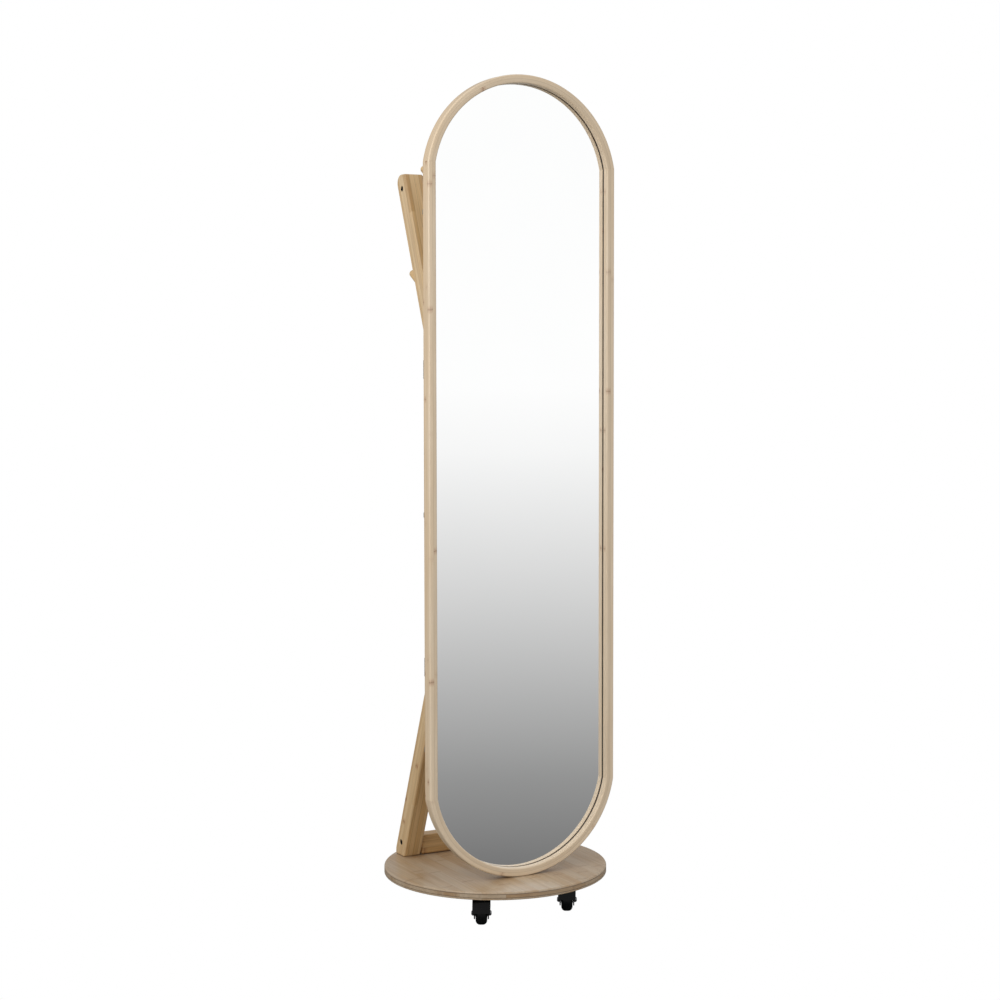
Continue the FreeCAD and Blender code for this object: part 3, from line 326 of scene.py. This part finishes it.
def plywood_disc(name, tones, top, ply):
    """Three plies of bamboo strips: the outer two run front to back and the core runs across."""
    graph = Graph(name)
    x, y, z = graph.parts(graph.place())
    core_top = graph.math("LESS_THAN", z, top - ply[0])
    core_low = graph.math("GREATER_THAN", z, top - ply[1])
    core = graph.times(core_top, core_low)
    skin = graph.minus(1.0, core)
    across = graph.add(graph.times(y, core), graph.times(x, skin))
    along = graph.add(graph.times(x, core), graph.times(y, skin))
    layer_id = graph.add(core_top, core_low)
    column = graph.over(across, BASE_STRIP_WIDTH)
    column_id = graph.math("FLOOR", column)
    stagger = graph.random(graph.join(column_id, layer_id, 3.0))
    piece_id = graph.math("FLOOR", graph.add(graph.over(along, BASE_STRIP_LENGTH), stagger))
    tone = graph.random(graph.join(column_id, layer_id, piece_id))
    own = graph.join(along, graph.add(across, graph.times(tone, STRIP_SHIFT)), z)

    fibre = graph.noise(own, 1.0, 4.0, 0.62, (9.0, 520.0, 520.0))
    broad = graph.noise(own, 1.0, 3.0, 0.55, (6.0, 70.0, 40.0))
    veins = graph.noise(own, 1.0, 3.0, 0.6, (10.0, 240.0, 240.0))
    pores = graph.span(graph.noise(own, 1.0, 2.0, 0.6, (60.0, 1600.0, 1600.0)), 0.60, 0.74)
    level = graph.add(graph.times(tone, 0.45), graph.times(broad, 0.35))
    patch = graph.noise(graph.join(across, along, z), 1.0, 3.0, 0.55, (16.0, 5.0, 9.0))
    level = graph.add(level, graph.times(graph.minus(patch, 0.30), 0.75))
    colour = graph.ramp(level, tones)
    streak = graph.times(graph.span(fibre, 0.28, 0.72, 0.95, 1.03),
                        graph.span(veins, 0.3, 0.7, 0.92, 1.05))
    colour = graph.mix(1.0, colour, graph.join(streak, streak, streak), "MULTIPLY")
    phase = graph.add(graph.over(along, BASE_KNUCKLE_PITCH), graph.times(tone, KNUCKLE_SHIFT))
    waver = graph.noise(own, 1.0, 2.0, 0.5, (30.0, 90.0, 90.0))
    phase = graph.add(phase, graph.times(graph.minus(waver, 0.5), 0.05))
    offset = graph.math("ABSOLUTE", graph.minus(graph.math("FRACT", phase), 0.5))
    knuckle = graph.span(offset, 0.003, 0.020, 1.0, 0.0)
    colour = graph.mix(graph.times(knuckle, 0.30), colour, linear(120, 84, 56))
    colour = graph.mix(graph.times(pores, 0.22), colour, linear(110, 80, 54))
    seam_column = graph.times(graph.math("PINGPONG", column, 0.5), BASE_STRIP_WIDTH / MM)
    seam = graph.span(seam_column, 0.05, 0.40, 1.0, 0.0)
    glue = [graph.math("ABSOLUTE", graph.minus(z, top - depth)) for depth in ply]
    glue_line = graph.span(graph.math("MINIMUM", *glue), 0.35 * MM, 0.75 * MM, 1.0, 0.0)
    colour = graph.mix(graph.times(seam, 0.30), colour, linear(104, 74, 48))
    colour = graph.mix(graph.times(glue_line, 0.75), colour, linear(84, 58, 38))
    height = graph.minus(graph.times(fibre, 0.5), graph.times(pores, 0.7))
    graph.bump(graph.minus(height, seam), 0.05 * MM, 0.5)
    roughness = graph.span(fibre, 0.2, 0.8, 0.50, 0.40)
    return graph.finish(colour, roughness, {"Coat Weight": 0.35, "Coat Roughness": 0.18})


def fibreboard(name):
    """Pressed board with a fine speckle of fibres."""
    graph = Graph(name)
    place = graph.place()
    speckle = graph.noise(place, 900.0, 4.0, 0.7)
    cloud = graph.noise(place, 14.0, 3.0, 0.5)
    level = graph.add(graph.times(speckle, 0.7), graph.times(cloud, 0.3))
    colour = graph.ramp(level, [(0.3, linear(112, 84, 58)), (0.7, linear(158, 126, 92))])
    graph.bump(speckle, 0.08 * MM, 0.5)
    return graph.finish(colour, graph.span(speckle, 0.3, 0.7, 0.62, 0.8))


def plastic(name, shade, gloss, grain_scale=1400.0, grain_depth=0.03):
    """Moulded plastic or rubber with a fine surface texture and faint scuffs."""
    graph = Graph(name)
    place = graph.place()
    fine = graph.noise(place, grain_scale, 2.0, 0.5)
    scuff = graph.span(graph.noise(place, 1.0, 4.0, 0.6, (90.0, 160.0, 320.0)), 0.52, 0.75)
    light = tuple(min(1.0, part * 2.2 + 0.006) for part in shade)
    colour = graph.mix(graph.times(scuff, 0.35), shade, light)
    graph.bump(fine, grain_depth * MM, 0.5)
    roughness = graph.add(gloss, graph.times(scuff, 0.12))
    return graph.finish(colour, roughness, {"Specular IOR Level": 0.12})


def steel(name, shade, gloss, metallic=1.0):
    """Plated or blackened steel with fine turning marks and small stains."""
    graph = Graph(name)
    place = graph.place()
    marks = graph.noise(place, 1.0, 3.0, 0.6, (2600.0, 2600.0, 300.0))
    stain = graph.noise(place, 160.0, 3.0, 0.5)
    dark = tuple(part * 0.72 for part in shade)
    colour = graph.mix(graph.span(stain, 0.35, 0.7), dark, shade)
    graph.bump(marks, 0.02 * MM, 0.4)
    roughness = graph.span(marks, 0.3, 0.7, gloss - 0.06, gloss + 0.08)
    return graph.finish(colour, roughness, {"Metallic": metallic})


def looking_glass(name):
    """Silvered glass: a clean mirror with the faintest cloud of handling on it."""
    graph = Graph(name)
    cloud = graph.noise(graph.place(), 5.0, 3.0, 0.5)
    colour = graph.ramp(cloud, [(0.2, (0.975, 0.982, 0.98)), (0.8, (0.99, 0.992, 0.991))])
    return graph.finish(colour, graph.span(cloud, 0.3, 0.8, 0.0, 0.012), {"Metallic": 1.0})


def foam_tape(name, dark, light):
    """Closed-cell foam: fine cells between a dark and a light shade."""
    graph = Graph(name)
    cells = graph.noise(graph.place(), 1600.0, 2.0, 0.5)
    colour = graph.ramp(cells, [(0.35, dark), (0.7, light)])
    graph.bump(cells, 0.05 * MM, 0.6)
    return graph.finish(colour, graph.span(cells, 0.3, 0.7, 0.6, 0.8))


# ------------------------------------------------------------------ mesh helpers


def rounded_outline(corners, segments=6):
    """Points round a polygon whose corners are (across, up, radius)."""
    points = []
    total = len(corners)
    for index, (across, up, radius) in enumerate(corners):
        corner = Vector((across, up))
        if radius == 0:
            points.append(corner)
            continue
        before = (Vector(corners[index - 1][:2]) - corner).normalized()
        after = (Vector(corners[(index + 1) % total][:2]) - corner).normalized()
        half = before.angle(after) / 2
        centre = corner + (before + after).normalized() * (radius / math.sin(half))
        start = corner + before * (radius / math.tan(half)) - centre
        turn = start.angle_signed(corner + after * (radius / math.tan(half)) - centre)
        for step in range(segments + 1):
            spun = start.copy()
            spun.rotate(Matrix.Rotation(-turn * step / segments, 2))
            points.append(centre + spun)
    return points


def loft(name, rings):
    """A closed mesh through rings of equal length, capped at both ends."""
    count = len(rings[0])
    points = [point for ring in rings for point in ring]
    faces = []
    for row in range(len(rings) - 1):
        for step in range(count):
            following = (step + 1) % count
            low = row * count
            faces.append((low + step, low + following, low + count + following, low + count + step))
    faces.append(tuple(reversed(range(count))))
    faces.append(tuple(range((len(rings) - 1) * count, len(rings) * count)))
    mesh = bpy.data.meshes.new(name)
    mesh.from_pydata([tuple(point) for point in points], [], faces)
    return new_object(name, mesh)


def new_object(name, mesh):
    obj = bpy.data.objects.new(name, mesh)
    bpy.context.scene.collection.objects.link(obj)
    outward(mesh)
    return obj


def outward(mesh):
    """Make every face look outwards."""
    shape = bmesh.new()
    shape.from_mesh(mesh)
    bmesh.ops.recalc_face_normals(shape, faces=shape.faces)
    shape.to_mesh(mesh)
    shape.free()


def soften(obj, angle=35.0):
    """Smooth shading across rounded edges, with flat faces kept flat."""
    for face in obj.data.polygons:
        face.use_smooth = True
    obj.data.set_sharp_from_angle(angle=math.radians(angle))
    weighted = obj.modifiers.new("even_normals", "WEIGHTED_NORMAL")
    weighted.keep_sharp = True


def carve(obj, tools):
    """Cut tools out of an object and apply the cut."""
    for tool in tools:
        cutter = obj.modifiers.new("cut", "BOOLEAN")
        cutter.operation = "DIFFERENCE"
        cutter.solver = "EXACT"
        cutter.object = tool
    bpy.context.view_layer.update()
    solid = bpy.data.meshes.new_from_object(obj.evaluated_get(bpy.context.evaluated_depsgraph_get()))
    obj.modifiers.clear()
    obj.data = solid
    for tool in tools:
        bpy.data.objects.remove(tool)


def round_angles(count):
    return [2 * math.pi * step / count for step in range(count)]


def drill(start, end, radius, mouth=0.0):
    """A round cutter from start to end, flared by a small countersink at the start."""
    start = Vector(start)
    end = Vector(end)
    way = (end - start).normalized()
    turn = way.to_track_quat("Z", "Y").to_matrix()
    stations = [(start - way * MM, radius + mouth + (MM if mouth else 0)), (start, radius + mouth)]
    if mouth:
        stations.append((start + way * mouth, radius))
    stations.append((end, radius))
    circles = []
    for place, size in stations:
        circles.append([place + turn @ Vector((size * math.cos(a), size * math.sin(a), 0))
                        for a in round_angles(DRILL_SIDES)])
    return loft("drill", circles)


def lay_grain(obj, rule, seed=0.0, origin=None):
    """Store how far each point lies along, across and through the wood, from origin where it is given.

    The seed takes each piece from another stretch of wood."""
    attribute = obj.data.attributes.new("grain", "FLOAT_VECTOR", "POINT")
    start = Vector(rule(Vector(origin))) if origin else Vector()
    shift = Vector((seed * SEED_STRETCH, 0, 0))
    values = [part for vertex in obj.data.vertices for part in Vector(rule(vertex.co)) - start + shift]
    attribute.data.foreach_set("vector", values)


def stand_for(obj, node, material):
    """obj takes the place of a CAD node on the stand."""
    obj.data.materials.clear()
    obj.data.materials.append(material)
    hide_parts(node)
    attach(obj, STAND)


def dress(prefix, material):
    """Give every CAD node whose name starts so a material."""
    for name, obj in nodes.items():
        if name.startswith(prefix):
            obj.data.materials.clear()
            obj.data.materials.append(material)


# ------------------------------------------------------------------ mirror frame


arch_low, arch_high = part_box("arch_top")
stile_low, stile_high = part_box("stile_right")
FRAME_FRONT = stile_low.y
FRAME_BACK = stile_high.y
FACE = stile_high.x - stile_low.x
HALF_WIDTH = stile_high.x
DEPTH = FRAME_BACK - FRAME_FRONT
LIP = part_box("glazing_tape")[0].y - FRAME_FRONT
WALL = 8 * MM
RISE = arch_high.z - arch_low.z
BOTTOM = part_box("arch_bottom")[0].z
TOP = arch_high.z
HALF_CHORD = arch_high.x
ARCH_RADIUS = (HALF_CHORD ** 2 + RISE ** 2) / (2 * RISE)


def frame_section(shrink=0.0):
    """The L-shaped section: how far in from the outer edge, and how deep behind the front."""
    corners = [(0, 0, FRAME_ROUND), (FACE, 0, LIP_ROUND), (FACE, LIP, EASED), (WALL, LIP, 0),
               (WALL, DEPTH, EASED), (0, DEPTH, FRAME_ROUND)]
    points = rounded_outline(corners)
    if not shrink:
        return points
    middle = Vector((WALL / 2, DEPTH / 2))
    return [point + (middle - point).normalized() * shrink for point in points]


def eased_stations(steps, ease):
    """Shares of the length, one more close to each end, and how much the section shrinks there."""
    inner = [(ease + (1 - 2 * ease) * step / steps, 0.0) for step in range(steps + 1)]
    return [(0.0, EASED / 2)] + inner + [(1.0, EASED / 2)]


def build_arch(end, material, seed):
    sign = 1 if end == "top" else -1
    edge = TOP if end == "top" else BOTTOM
    centre = edge - sign * ARCH_RADIUS
    level = ARCH_RADIUS - RISE
    rings = []
    for share, shrink in eased_stations(ARCH_STEPS, ARCH_EASE):
        ring = []
        for inset, depth in frame_section(shrink):
            radius = ARCH_RADIUS - inset
            start = math.asin(level / radius)
            angle = start + share * (math.pi - 2 * start)
            ring.append(Vector((radius * math.cos(angle), FRAME_FRONT + depth,
                                centre + sign * radius * math.sin(angle))))
        rings.append(ring)
    arch = loft("bent_" + end, rings)
    soften(arch)

    def rule(point):
        radius = math.hypot(point.x, point.z - centre)
        turn = math.atan2(point.x, sign * (point.z - centre))
        return turn * ARCH_RADIUS, ARCH_RADIUS - radius, point.y - FRAME_FRONT
    lay_grain(arch, rule, seed)
    stand_for(arch, "arch_" + end, material)


def build_stile(name, side, material, seed):
    low, high = stile_low.z, stile_high.z
    rings = []
    for share, shrink in eased_stations(STILE_STEPS, STILE_EASE):
        height = low + share * (high - low)
        rings.append([Vector((side * (HALF_WIDTH - inset), FRAME_FRONT + depth, height))
                      for inset, depth in frame_section(shrink)])
    stile = loft("upright_" + name, rings)
    soften(stile)
    lay_grain(stile, lambda point: (point.z, HALF_WIDTH - side * point.x, point.y - FRAME_FRONT), seed)
    stand_for(stile, "stile_" + name, material)


# ------------------------------------------------------------------ base


def build_base(material):
    """The round board with a rounded rim, fine grooves at its glue lines and bores for its screws."""
    low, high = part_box("base_disc")
    radius = (high.x - low.x) / 2
    rim = rounded_outline([(0, low.z, 0), (radius, low.z, RIM_LOW_ROUND),
                           (radius, high.z, RIM_TOP_ROUND), (0, high.z, 0)], 8)
    edge = [(point.x, point.y) for point in rim if point.x > radius * 0.9]
    lines = [high.z - depth for depth in reversed(PLIES)]
    grooves = []
    for line in lines:
        grooves += [(radius, line - GROOVE), (radius - GROOVE, line), (radius, line + GROOVE)]
    inner = [radius * share for share in (0.3, 0.6, 0.85)]
    outline = [(x, low.z) for x in inner] + [point for point in edge if point[1] <= lines[0]]
    outline += grooves + [point for point in edge if point[1] > lines[0]]
    outline += [(x, high.z) for x in reversed(inner)]
    mesh = bpy.data.meshes.new("round_base")
    shape = bmesh.new()
    pole_low = shape.verts.new((0, 0, low.z))
    pole_high = shape.verts.new((0, 0, high.z))
    rows = []
    for size, height in outline:
        rows.append([shape.verts.new((size * math.cos(a), size * math.sin(a), height))
                     for a in round_angles(BASE_SIDES)])
    for step in range(BASE_SIDES):
        following = (step + 1) % BASE_SIDES
        shape.faces.new((pole_low, rows[0][following], rows[0][step]))
        shape.faces.new((pole_high, rows[-1][step], rows[-1][following]))
        for first, second in zip(rows, rows[1:]):
            shape.faces.new((first[step], first[following], second[following], second[step]))
    shape.to_mesh(mesh)
    shape.free()
    disc = new_object("round_base", mesh)
    tools = []
    for x, y in FOOT_SCREWS:
        tools.append(drill((x, y, low.z), (x, y, high.z - MM), SCREW_BORE))
        tools.append(drill((x, y, low.z), (x, y, low.z + SCREW_SUNK), SCREW_HEAD))
    carve(disc, tools)
    soften(disc, 25)
    stand_for(disc, "base_disc", material)
    disc.visible_glossy = False


LIMB_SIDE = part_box("leg_right")[1].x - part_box("leg_right")[0].x
LIMB_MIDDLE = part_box("leg_right")[1].x - LIMB_SIDE / 2
RAIL_MIDDLE = sum(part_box("foot_rail")[side].y for side in (0, 1)) / 2
LIP_MIDDLE = FRAME_FRONT + LIP / 2
FOOT_SCREWS = [(side * LIMB_MIDDLE, y) for side in (-1, 1) for y in LEG_SCREWS_Y]
FOOT_SCREWS += [(side * RAIL_SCREW_X, RAIL_MIDDLE) for side in (-1, 1)]
FOOT_SCREWS += [(side * FRAME_SCREW_X, LIP_MIDDLE) for side in (-1, 1)]


# ------------------------------------------------------------------ legs, arms, posts and rails


def lean_rule(direction):
    """Grain along a limb that leans back (+1) or forward (-1) as it rises."""
    lean = LIMB_LEAN * direction
    return lambda point: (point.z * math.cos(lean) + point.y * math.sin(lean), point.x,
                          point.y * math.cos(lean) - point.z * math.sin(lean))


def bar(name, outline, low_x, high_x, radius, corner=None):
    """A bar with an outline in the YZ plane and rounded edges all round; corner rounds one edge more."""
    shape = bmesh.new()
    near = [shape.verts.new((low_x, y, z)) for y, z in outline]
    far = [shape.verts.new((high_x, y, z)) for y, z in outline]
    shape.faces.new(near)
    shape.faces.new(list(reversed(far)))
    for step in range(len(outline)):
        following = (step + 1) % len(outline)
        shape.faces.new((near[step], far[step], far[following], near[following]))
    bmesh.ops.recalc_face_normals(shape, faces=shape.faces)
    if corner:
        index, size = corner
        edge = shape.edges.get((near[index], far[index]))
        bmesh.ops.bevel(shape, geom=[edge], offset=size / math.tan(corner_angle(outline, index) / 2),
                        segments=10, profile=0.5, affect="EDGES")
    bmesh.ops.bevel(shape, geom=list(shape.edges), offset=radius, segments=5, profile=0.5,
                    affect="EDGES", clamp_overlap=True)
    mesh = bpy.data.meshes.new(name)
    shape.to_mesh(mesh)
    shape.free()
    return new_object(name, mesh)


def corner_angle(outline, index):
    corner = Vector(outline[index])
    before = Vector(outline[index - 1]) - corner
    after = Vector(outline[(index + 1) % len(outline)]) - corner
    return before.angle(after)


def bolt_drills(side, y, z):
    """Cutters for a cross bolt through a limb and for its sunk head on the outside."""
    outer = side * (LIMB_MIDDLE + LIMB_SIDE / 2)
    inner = side * (LIMB_MIDDLE - LIMB_SIDE / 2 - MM)
    return [drill((outer, y, z), (outer - side * BOLT_SUNK, y, z), BOLT_HEAD_BORE, BOLT_MOUTH),
            drill((outer - side * (BOLT_SUNK - BOLT_MOUTH), y, z), (inner, y, z), BOLT_BORE)]


def build_leg(name, side, material, seed):
    low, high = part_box("leg_" + name)
    slope = math.tan(LIMB_LEAN)
    deep = LIMB_SIDE / math.cos(LIMB_LEAN)
    rear_foot = low.y + (high.z - low.z) * slope
    heel_up = (rear_foot - high.y) / slope
    outline = [(rear_foot - deep, low.z), (high.y, low.z), (high.y, low.z + heel_up),
               (low.y, high.z), (low.y, high.z - deep / slope)]
    leg = bar("leg_bar_" + name, outline, low.x, high.x, LIMB_ROUND)
    bolt_low, bolt_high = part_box("cross_bolts")
    carve(leg, bolt_drills(side, bolt_high.y - BOLT_HEAD, bolt_low.z + BOLT_HEAD))
    soften(leg)
    lay_grain(leg, lean_rule(-1), seed, (side * LIMB_MIDDLE, rear_foot - deep, low.z))
    stand_for(leg, "leg_" + name, material)


def build_arm(name, side, material, seed):
    low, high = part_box("arm_" + name)
    slope = math.tan(LIMB_LEAN)
    deep = LIMB_SIDE / math.cos(LIMB_LEAN)
    arm_rear = low.y + (high.z - low.z) * slope
    outline = [(arm_rear - deep, high.z), (low.y, low.z + deep / slope), (low.y, low.z),
               (arm_rear, high.z)]
    arm = bar("arm_bar_" + name, outline, low.x, high.x, LIMB_ROUND, corner=(3, ARM_CORNER))
    bolt_low, bolt_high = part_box("cross_bolts")
    carve(arm, bolt_drills(side, bolt_low.y + BOLT_HEAD, bolt_high.z - BOLT_HEAD))
    soften(arm)
    lay_grain(arm, lean_rule(1), seed, (side * LIMB_MIDDLE, arm_rear - deep, high.z))
    stand_for(arm, "arm_" + name, material)


def build_block(node, name, radius, material, seed, rule, origin):
    """A straight piece as large as its CAD node, with rounded edges."""
    low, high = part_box(node)
    outline = [(low.y, low.z), (high.y, low.z), (high.y, high.z), (low.y, high.z)]
    block = bar(name, outline, low.x, high.x, radius)
    soften(block)
    lay_grain(block, rule, seed, origin)
    stand_for(block, node, material)


# ------------------------------------------------------------------ build everything


def build_pieces():
    frame_tones = [(0.15, linear(209, 180, 144)), (0.4, linear(225, 200, 166)),
                   (0.65, linear(234, 214, 186)), (0.9, linear(215, 190, 159))]
    # painted shade: the limbs' and pegs' tones are warmer and browner than the frame's, standing in for
    # shade and bounce light on their faces behind the mirror
    limb_shaded_tones = [(0.15, linear(196, 156, 102)), (0.45, linear(216, 180, 126)),
                  (0.7, linear(226, 194, 144)), (0.9, linear(204, 168, 118))]
    # painted shade: the rails' tones are darker and browner than the limbs', standing in for the
    # mirror's shadow on the rails behind it
    rail_shaded_tones = [(0.15, linear(180, 138, 82)), (0.45, linear(200, 160, 104)),
                  (0.7, linear(210, 174, 122)), (0.9, linear(188, 148, 96))]
    base_tones = [(0.15, linear(156, 120, 82)), (0.4, linear(174, 147, 114)),
                  (0.65, linear(184, 164, 138)), (0.9, linear(170, 142, 108))]
    frame_wood = bamboo("bamboo_frame", frame_tones, (8.6 * MM, 6.8 * MM), (0.4 * MM, 0.9 * MM), 0,
                        fade=0.07)
    # painted light: the outer 2.6 mm at each side is tinted paler and bluer, as faces lit from the side
    limb_lit_side_tint = (LIMB_SIDE / 2 - 2.6 * MM, (1.0, 1.05, 1.2))
    limb_wood_painted_light = bamboo("bamboo_limb_painted_light", limb_shaded_tones, (10.2 * MM, 9.8 * MM), (20.4 * MM, 0.6 * MM), 1.6,
                       figure=0.12, seam_strength=0.5, skin=limb_lit_side_tint)
    rail_shaded_wood = bamboo("bamboo_rail_shaded", rail_shaded_tones, (13.4 * MM, 10.4 * MM), (0.6 * MM, 0.6 * MM), 1.6,
                       figure=0.12, seam_strength=0.4)
    base_wood = plywood_disc("bamboo_base", base_tones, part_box("base_disc")[1].z, PLIES)
    peg_wood = bamboo("bamboo_peg", limb_shaded_tones, (17.0 * MM, 19.0 * MM), (8.3 * MM, 4.1 * MM), 0.5,
                      vector="place")

    build_arch("top", frame_wood, 1)
    build_arch("bottom", frame_wood, 2)
    for seed, (name, side) in enumerate(SIDES.items()):
        build_stile(name, side, frame_wood, 3 + seed)
        build_leg(name, side, limb_wood_painted_light, 5 + seed)
        build_arm(name, side, limb_wood_painted_light, 7 + seed)
        build_block("post_" + name, "post_bar_" + name, 2 * MM, limb_wood_painted_light, 9 + seed,
                    lambda point: (point.z, point.x, point.y),
                    (side * LIMB_MIDDLE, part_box("post_left")[0].y, 0))
    for seed, (node, name) in enumerate((("foot_rail", "rail_at_base"), ("head_rail", "rail_at_top"))):
        build_block(node, name, LIMB_ROUND, rail_shaded_wood, 11 + seed,
                    lambda point: (point.x, point.z, point.y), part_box(node)[0])
    build_base(base_wood)
    for prefix in ("arm_peg", "rail_peg", "rail_dowels"):
        dress(prefix, peg_wood)


def dress_fittings():
    caster_black = plastic("caster_black", (0.005, 0.005, 0.0055), 0.22)
    tyre_black = plastic("tyre_black", (0.005, 0.0055, 0.006), 0.38, 2200.0, 0.04)
    hub_black = plastic("hub_black", (0.010, 0.010, 0.011), 0.38)
    black_steel = steel("black_steel", (0.028, 0.028, 0.029), 0.34, 0.85)
    axle_steel = steel("axle_steel", (0.22, 0.22, 0.23), 0.24)
    zinc = steel("zinc_steel", (0.58, 0.58, 0.56), 0.32)
    dress("caster_fork", caster_black)
    dress("caster_plate", caster_black)
    dress("caster_tyre", tyre_black)
    dress("caster_hub", hub_black)
    dress("caster_axle", axle_steel)
    dress("caster_nut", axle_steel)
    dress("cross_bolts", black_steel)
    dress("strap", black_steel)
    for prefix in ("barrel_nuts", "board_clips", "caster_screws", "clip_screws", "foot_screws",
                   "frame_foot_screws", "limb_screws", "post_screws", "stile_screws"):
        dress(prefix, zinc)
    dress("back_board", fibreboard("fibreboard"))
    dress("foam_sheet", foam_tape("foam_white", (0.70, 0.70, 0.68), (0.84, 0.84, 0.82)))
    # painted shade: the near-black tape stands in for the shadow in the gap between the frame's lip and
    # the glass, and darkens its reflection too
    dress("glazing_tape", foam_tape("foam_black_shadow_line", (0.006, 0.006, 0.006), (0.016, 0.016, 0.017)))
    dress("mirror_glass", looking_glass("looking_glass"))


# ------------------------------------------------------------------ camera, light and stage


def make_camera():
    data = bpy.data.cameras.new("camera")
    data.lens = LENS
    data.sensor_width = 36
    data.shift_x, data.shift_y = SHIFT
    data.clip_start = 0.1
    data.clip_end = 60
    camera = bpy.data.objects.new("camera", data)
    bpy.context.scene.collection.objects.link(camera)
    camera.location = CAMERA_PLACE
    aim = Euler((math.radians(90 + CAMERA_PITCH), 0, math.radians(-CAMERA_YAW)), "XYZ").to_matrix()
    camera.rotation_euler = (aim @ Matrix.Rotation(math.radians(CAMERA_ROLL), 3, "Z")).to_euler()
    bpy.context.scene.camera = camera


def area_light(name, place, target, size, power, colour=(1, 1, 1)):
    data = bpy.data.lights.new(name, "AREA")
    data.shape = "RECTANGLE"
    data.size, data.size_y = size
    data.energy = power
    data.color = colour
    lamp = bpy.data.objects.new(name, data)
    bpy.context.scene.collection.objects.link(lamp)
    lamp.location = place
    lamp.rotation_euler = (Vector(target) - Vector(place)).to_track_quat("-Z", "Y").to_euler()
    lamp.visible_camera = False
    return lamp


def studio_world():
    """White to the eye; what is mirrored fades to grey below the horizon, like a studio floor."""
    world = bpy.data.worlds.new("studio")
    bpy.context.scene.world = world
    world.use_nodes = True
    tree = world.node_tree
    tree.nodes.clear()
    coordinates = tree.nodes.new("ShaderNodeTexCoord")
    split = tree.nodes.new("ShaderNodeSeparateXYZ")
    tree.links.new(coordinates.outputs["Generated"], split.inputs[0])
    shift = tree.nodes.new("ShaderNodeMapRange")
    shift.inputs["From Min"].default_value = -0.5
    shift.inputs["From Max"].default_value = 0.5
    tree.links.new(split.outputs["Z"], shift.inputs["Value"])
    mirrored = tree.nodes.new("ShaderNodeValToRGB")
    band = mirrored.color_ramp
    while len(band.elements) < len(MIRRORED_SHADES):
        band.elements.new(1.0)
    for element, (elevation, shade) in zip(band.elements, MIRRORED_SHADES):
        element.position = math.sin(math.radians(elevation)) + 0.5
        element.color = (*linear(shade, shade, shade), 1.0)
    tree.links.new(shift.outputs[0], mirrored.inputs[0])
    ambient = tree.nodes.new("ShaderNodeValToRGB")
    band = ambient.color_ramp
    band.elements[0].position = 0.25
    band.elements[0].color = AMBIENT_LOW
    band.elements[1].position = 0.85
    band.elements[1].color = AMBIENT_HIGH
    tree.links.new(shift.outputs[0], ambient.inputs[0])
    path = tree.nodes.new("ShaderNodeLightPath")
    seen = tree.nodes.new("ShaderNodeMix")
    seen.data_type = "RGBA"
    full = tree.nodes.new("ShaderNodeMix")
    full.data_type = "RGBA"
    behind = tree.nodes.new("ShaderNodeMapRange")
    behind.inputs["From Min"].default_value = -0.15
    behind.inputs["From Max"].default_value = 0.25
    behind.inputs["To Min"].default_value = 1.0
    behind.inputs["To Max"].default_value = BACK_SHARE
    tree.links.new(split.outputs["Y"], behind.inputs["Value"])
    dimmed = tree.nodes.new("ShaderNodeVectorMath")
    dimmed.operation = "SCALE"
    tree.links.new(mirrored.outputs[0], dimmed.inputs[0])
    tree.links.new(behind.outputs[0], dimmed.inputs["Scale"])
    tree.links.new(path.outputs["Is Glossy Ray"], seen.inputs["Factor"])
    tree.links.new(ambient.outputs[0], seen.inputs[COLOUR_A])
    tree.links.new(dimmed.outputs[0], seen.inputs[COLOUR_B])
    tree.links.new(path.outputs["Is Camera Ray"], full.inputs["Factor"])
    tree.links.new(seen.outputs[COLOUR_OUT], full.inputs[COLOUR_A])
    full.inputs[COLOUR_B].default_value = (1, 1, 1, 1)
    background = tree.nodes.new("ShaderNodeBackground")
    output = tree.nodes.new("ShaderNodeOutputWorld")
    tree.links.new(full.outputs[2], background.inputs["Color"])
    tree.links.new(background.outputs[0], output.inputs["Surface"])


def studio_floor():
    """A floor that is plain white to the camera and pale grey to the light that falls on it."""
    mesh = bpy.data.meshes.new("floor")
    reach = 12.0
    mesh.from_pydata([(-reach, -reach, 0), (reach, -reach, 0), (reach, reach, 0), (-reach, reach, 0)],
                     [], [(0, 1, 2, 3)])
    floor = bpy.data.objects.new("floor", mesh)
    bpy.context.scene.collection.objects.link(floor)
    floor.location.z = -0.3 * MM
    floor.visible_glossy = False
    material = bpy.data.materials.new("pale_floor")
    material.use_nodes = True
    tree = material.node_tree
    tree.nodes.clear()
    glow = tree.nodes.new("ShaderNodeEmission")
    matte = tree.nodes.new("ShaderNodeBsdfDiffuse")
    matte.inputs["Color"].default_value = (0.45, 0.45, 0.45, 1)
    clear = tree.nodes.new("ShaderNodeBsdfTransparent")
    blend = tree.nodes.new("ShaderNodeMixShader")
    sided = tree.nodes.new("ShaderNodeMixShader")
    path = tree.nodes.new("ShaderNodeLightPath")
    face = tree.nodes.new("ShaderNodeNewGeometry")
    output = tree.nodes.new("ShaderNodeOutputMaterial")
    tree.links.new(path.outputs["Is Camera Ray"], blend.inputs[0])
    tree.links.new(matte.outputs[0], blend.inputs[1])
    tree.links.new(glow.outputs[0], blend.inputs[2])
    tree.links.new(face.outputs["Backfacing"], sided.inputs[0])
    tree.links.new(blend.outputs[0], sided.inputs[1])
    tree.links.new(clear.outputs[0], sided.inputs[2])
    tree.links.new(sided.outputs[0], output.inputs["Surface"])
    mesh.materials.append(material)


def light_studio():
    area_light("left_softbox", (-1.9, -0.6, 1.6), (0, 0, 1.2), (0.9, 1.1), 10.5)
    area_light("near_softbox", (-1.15, -0.95, 1.5), (0, 0, 1.35), (0.5, 0.5), 3.2)
    scene = bpy.context.scene
    scene.view_settings.view_transform = "Standard"
    scene.view_settings.look = "None"


make_camera()
studio_world()
studio_floor()
light_studio()
build_pieces()
dress_fittings()
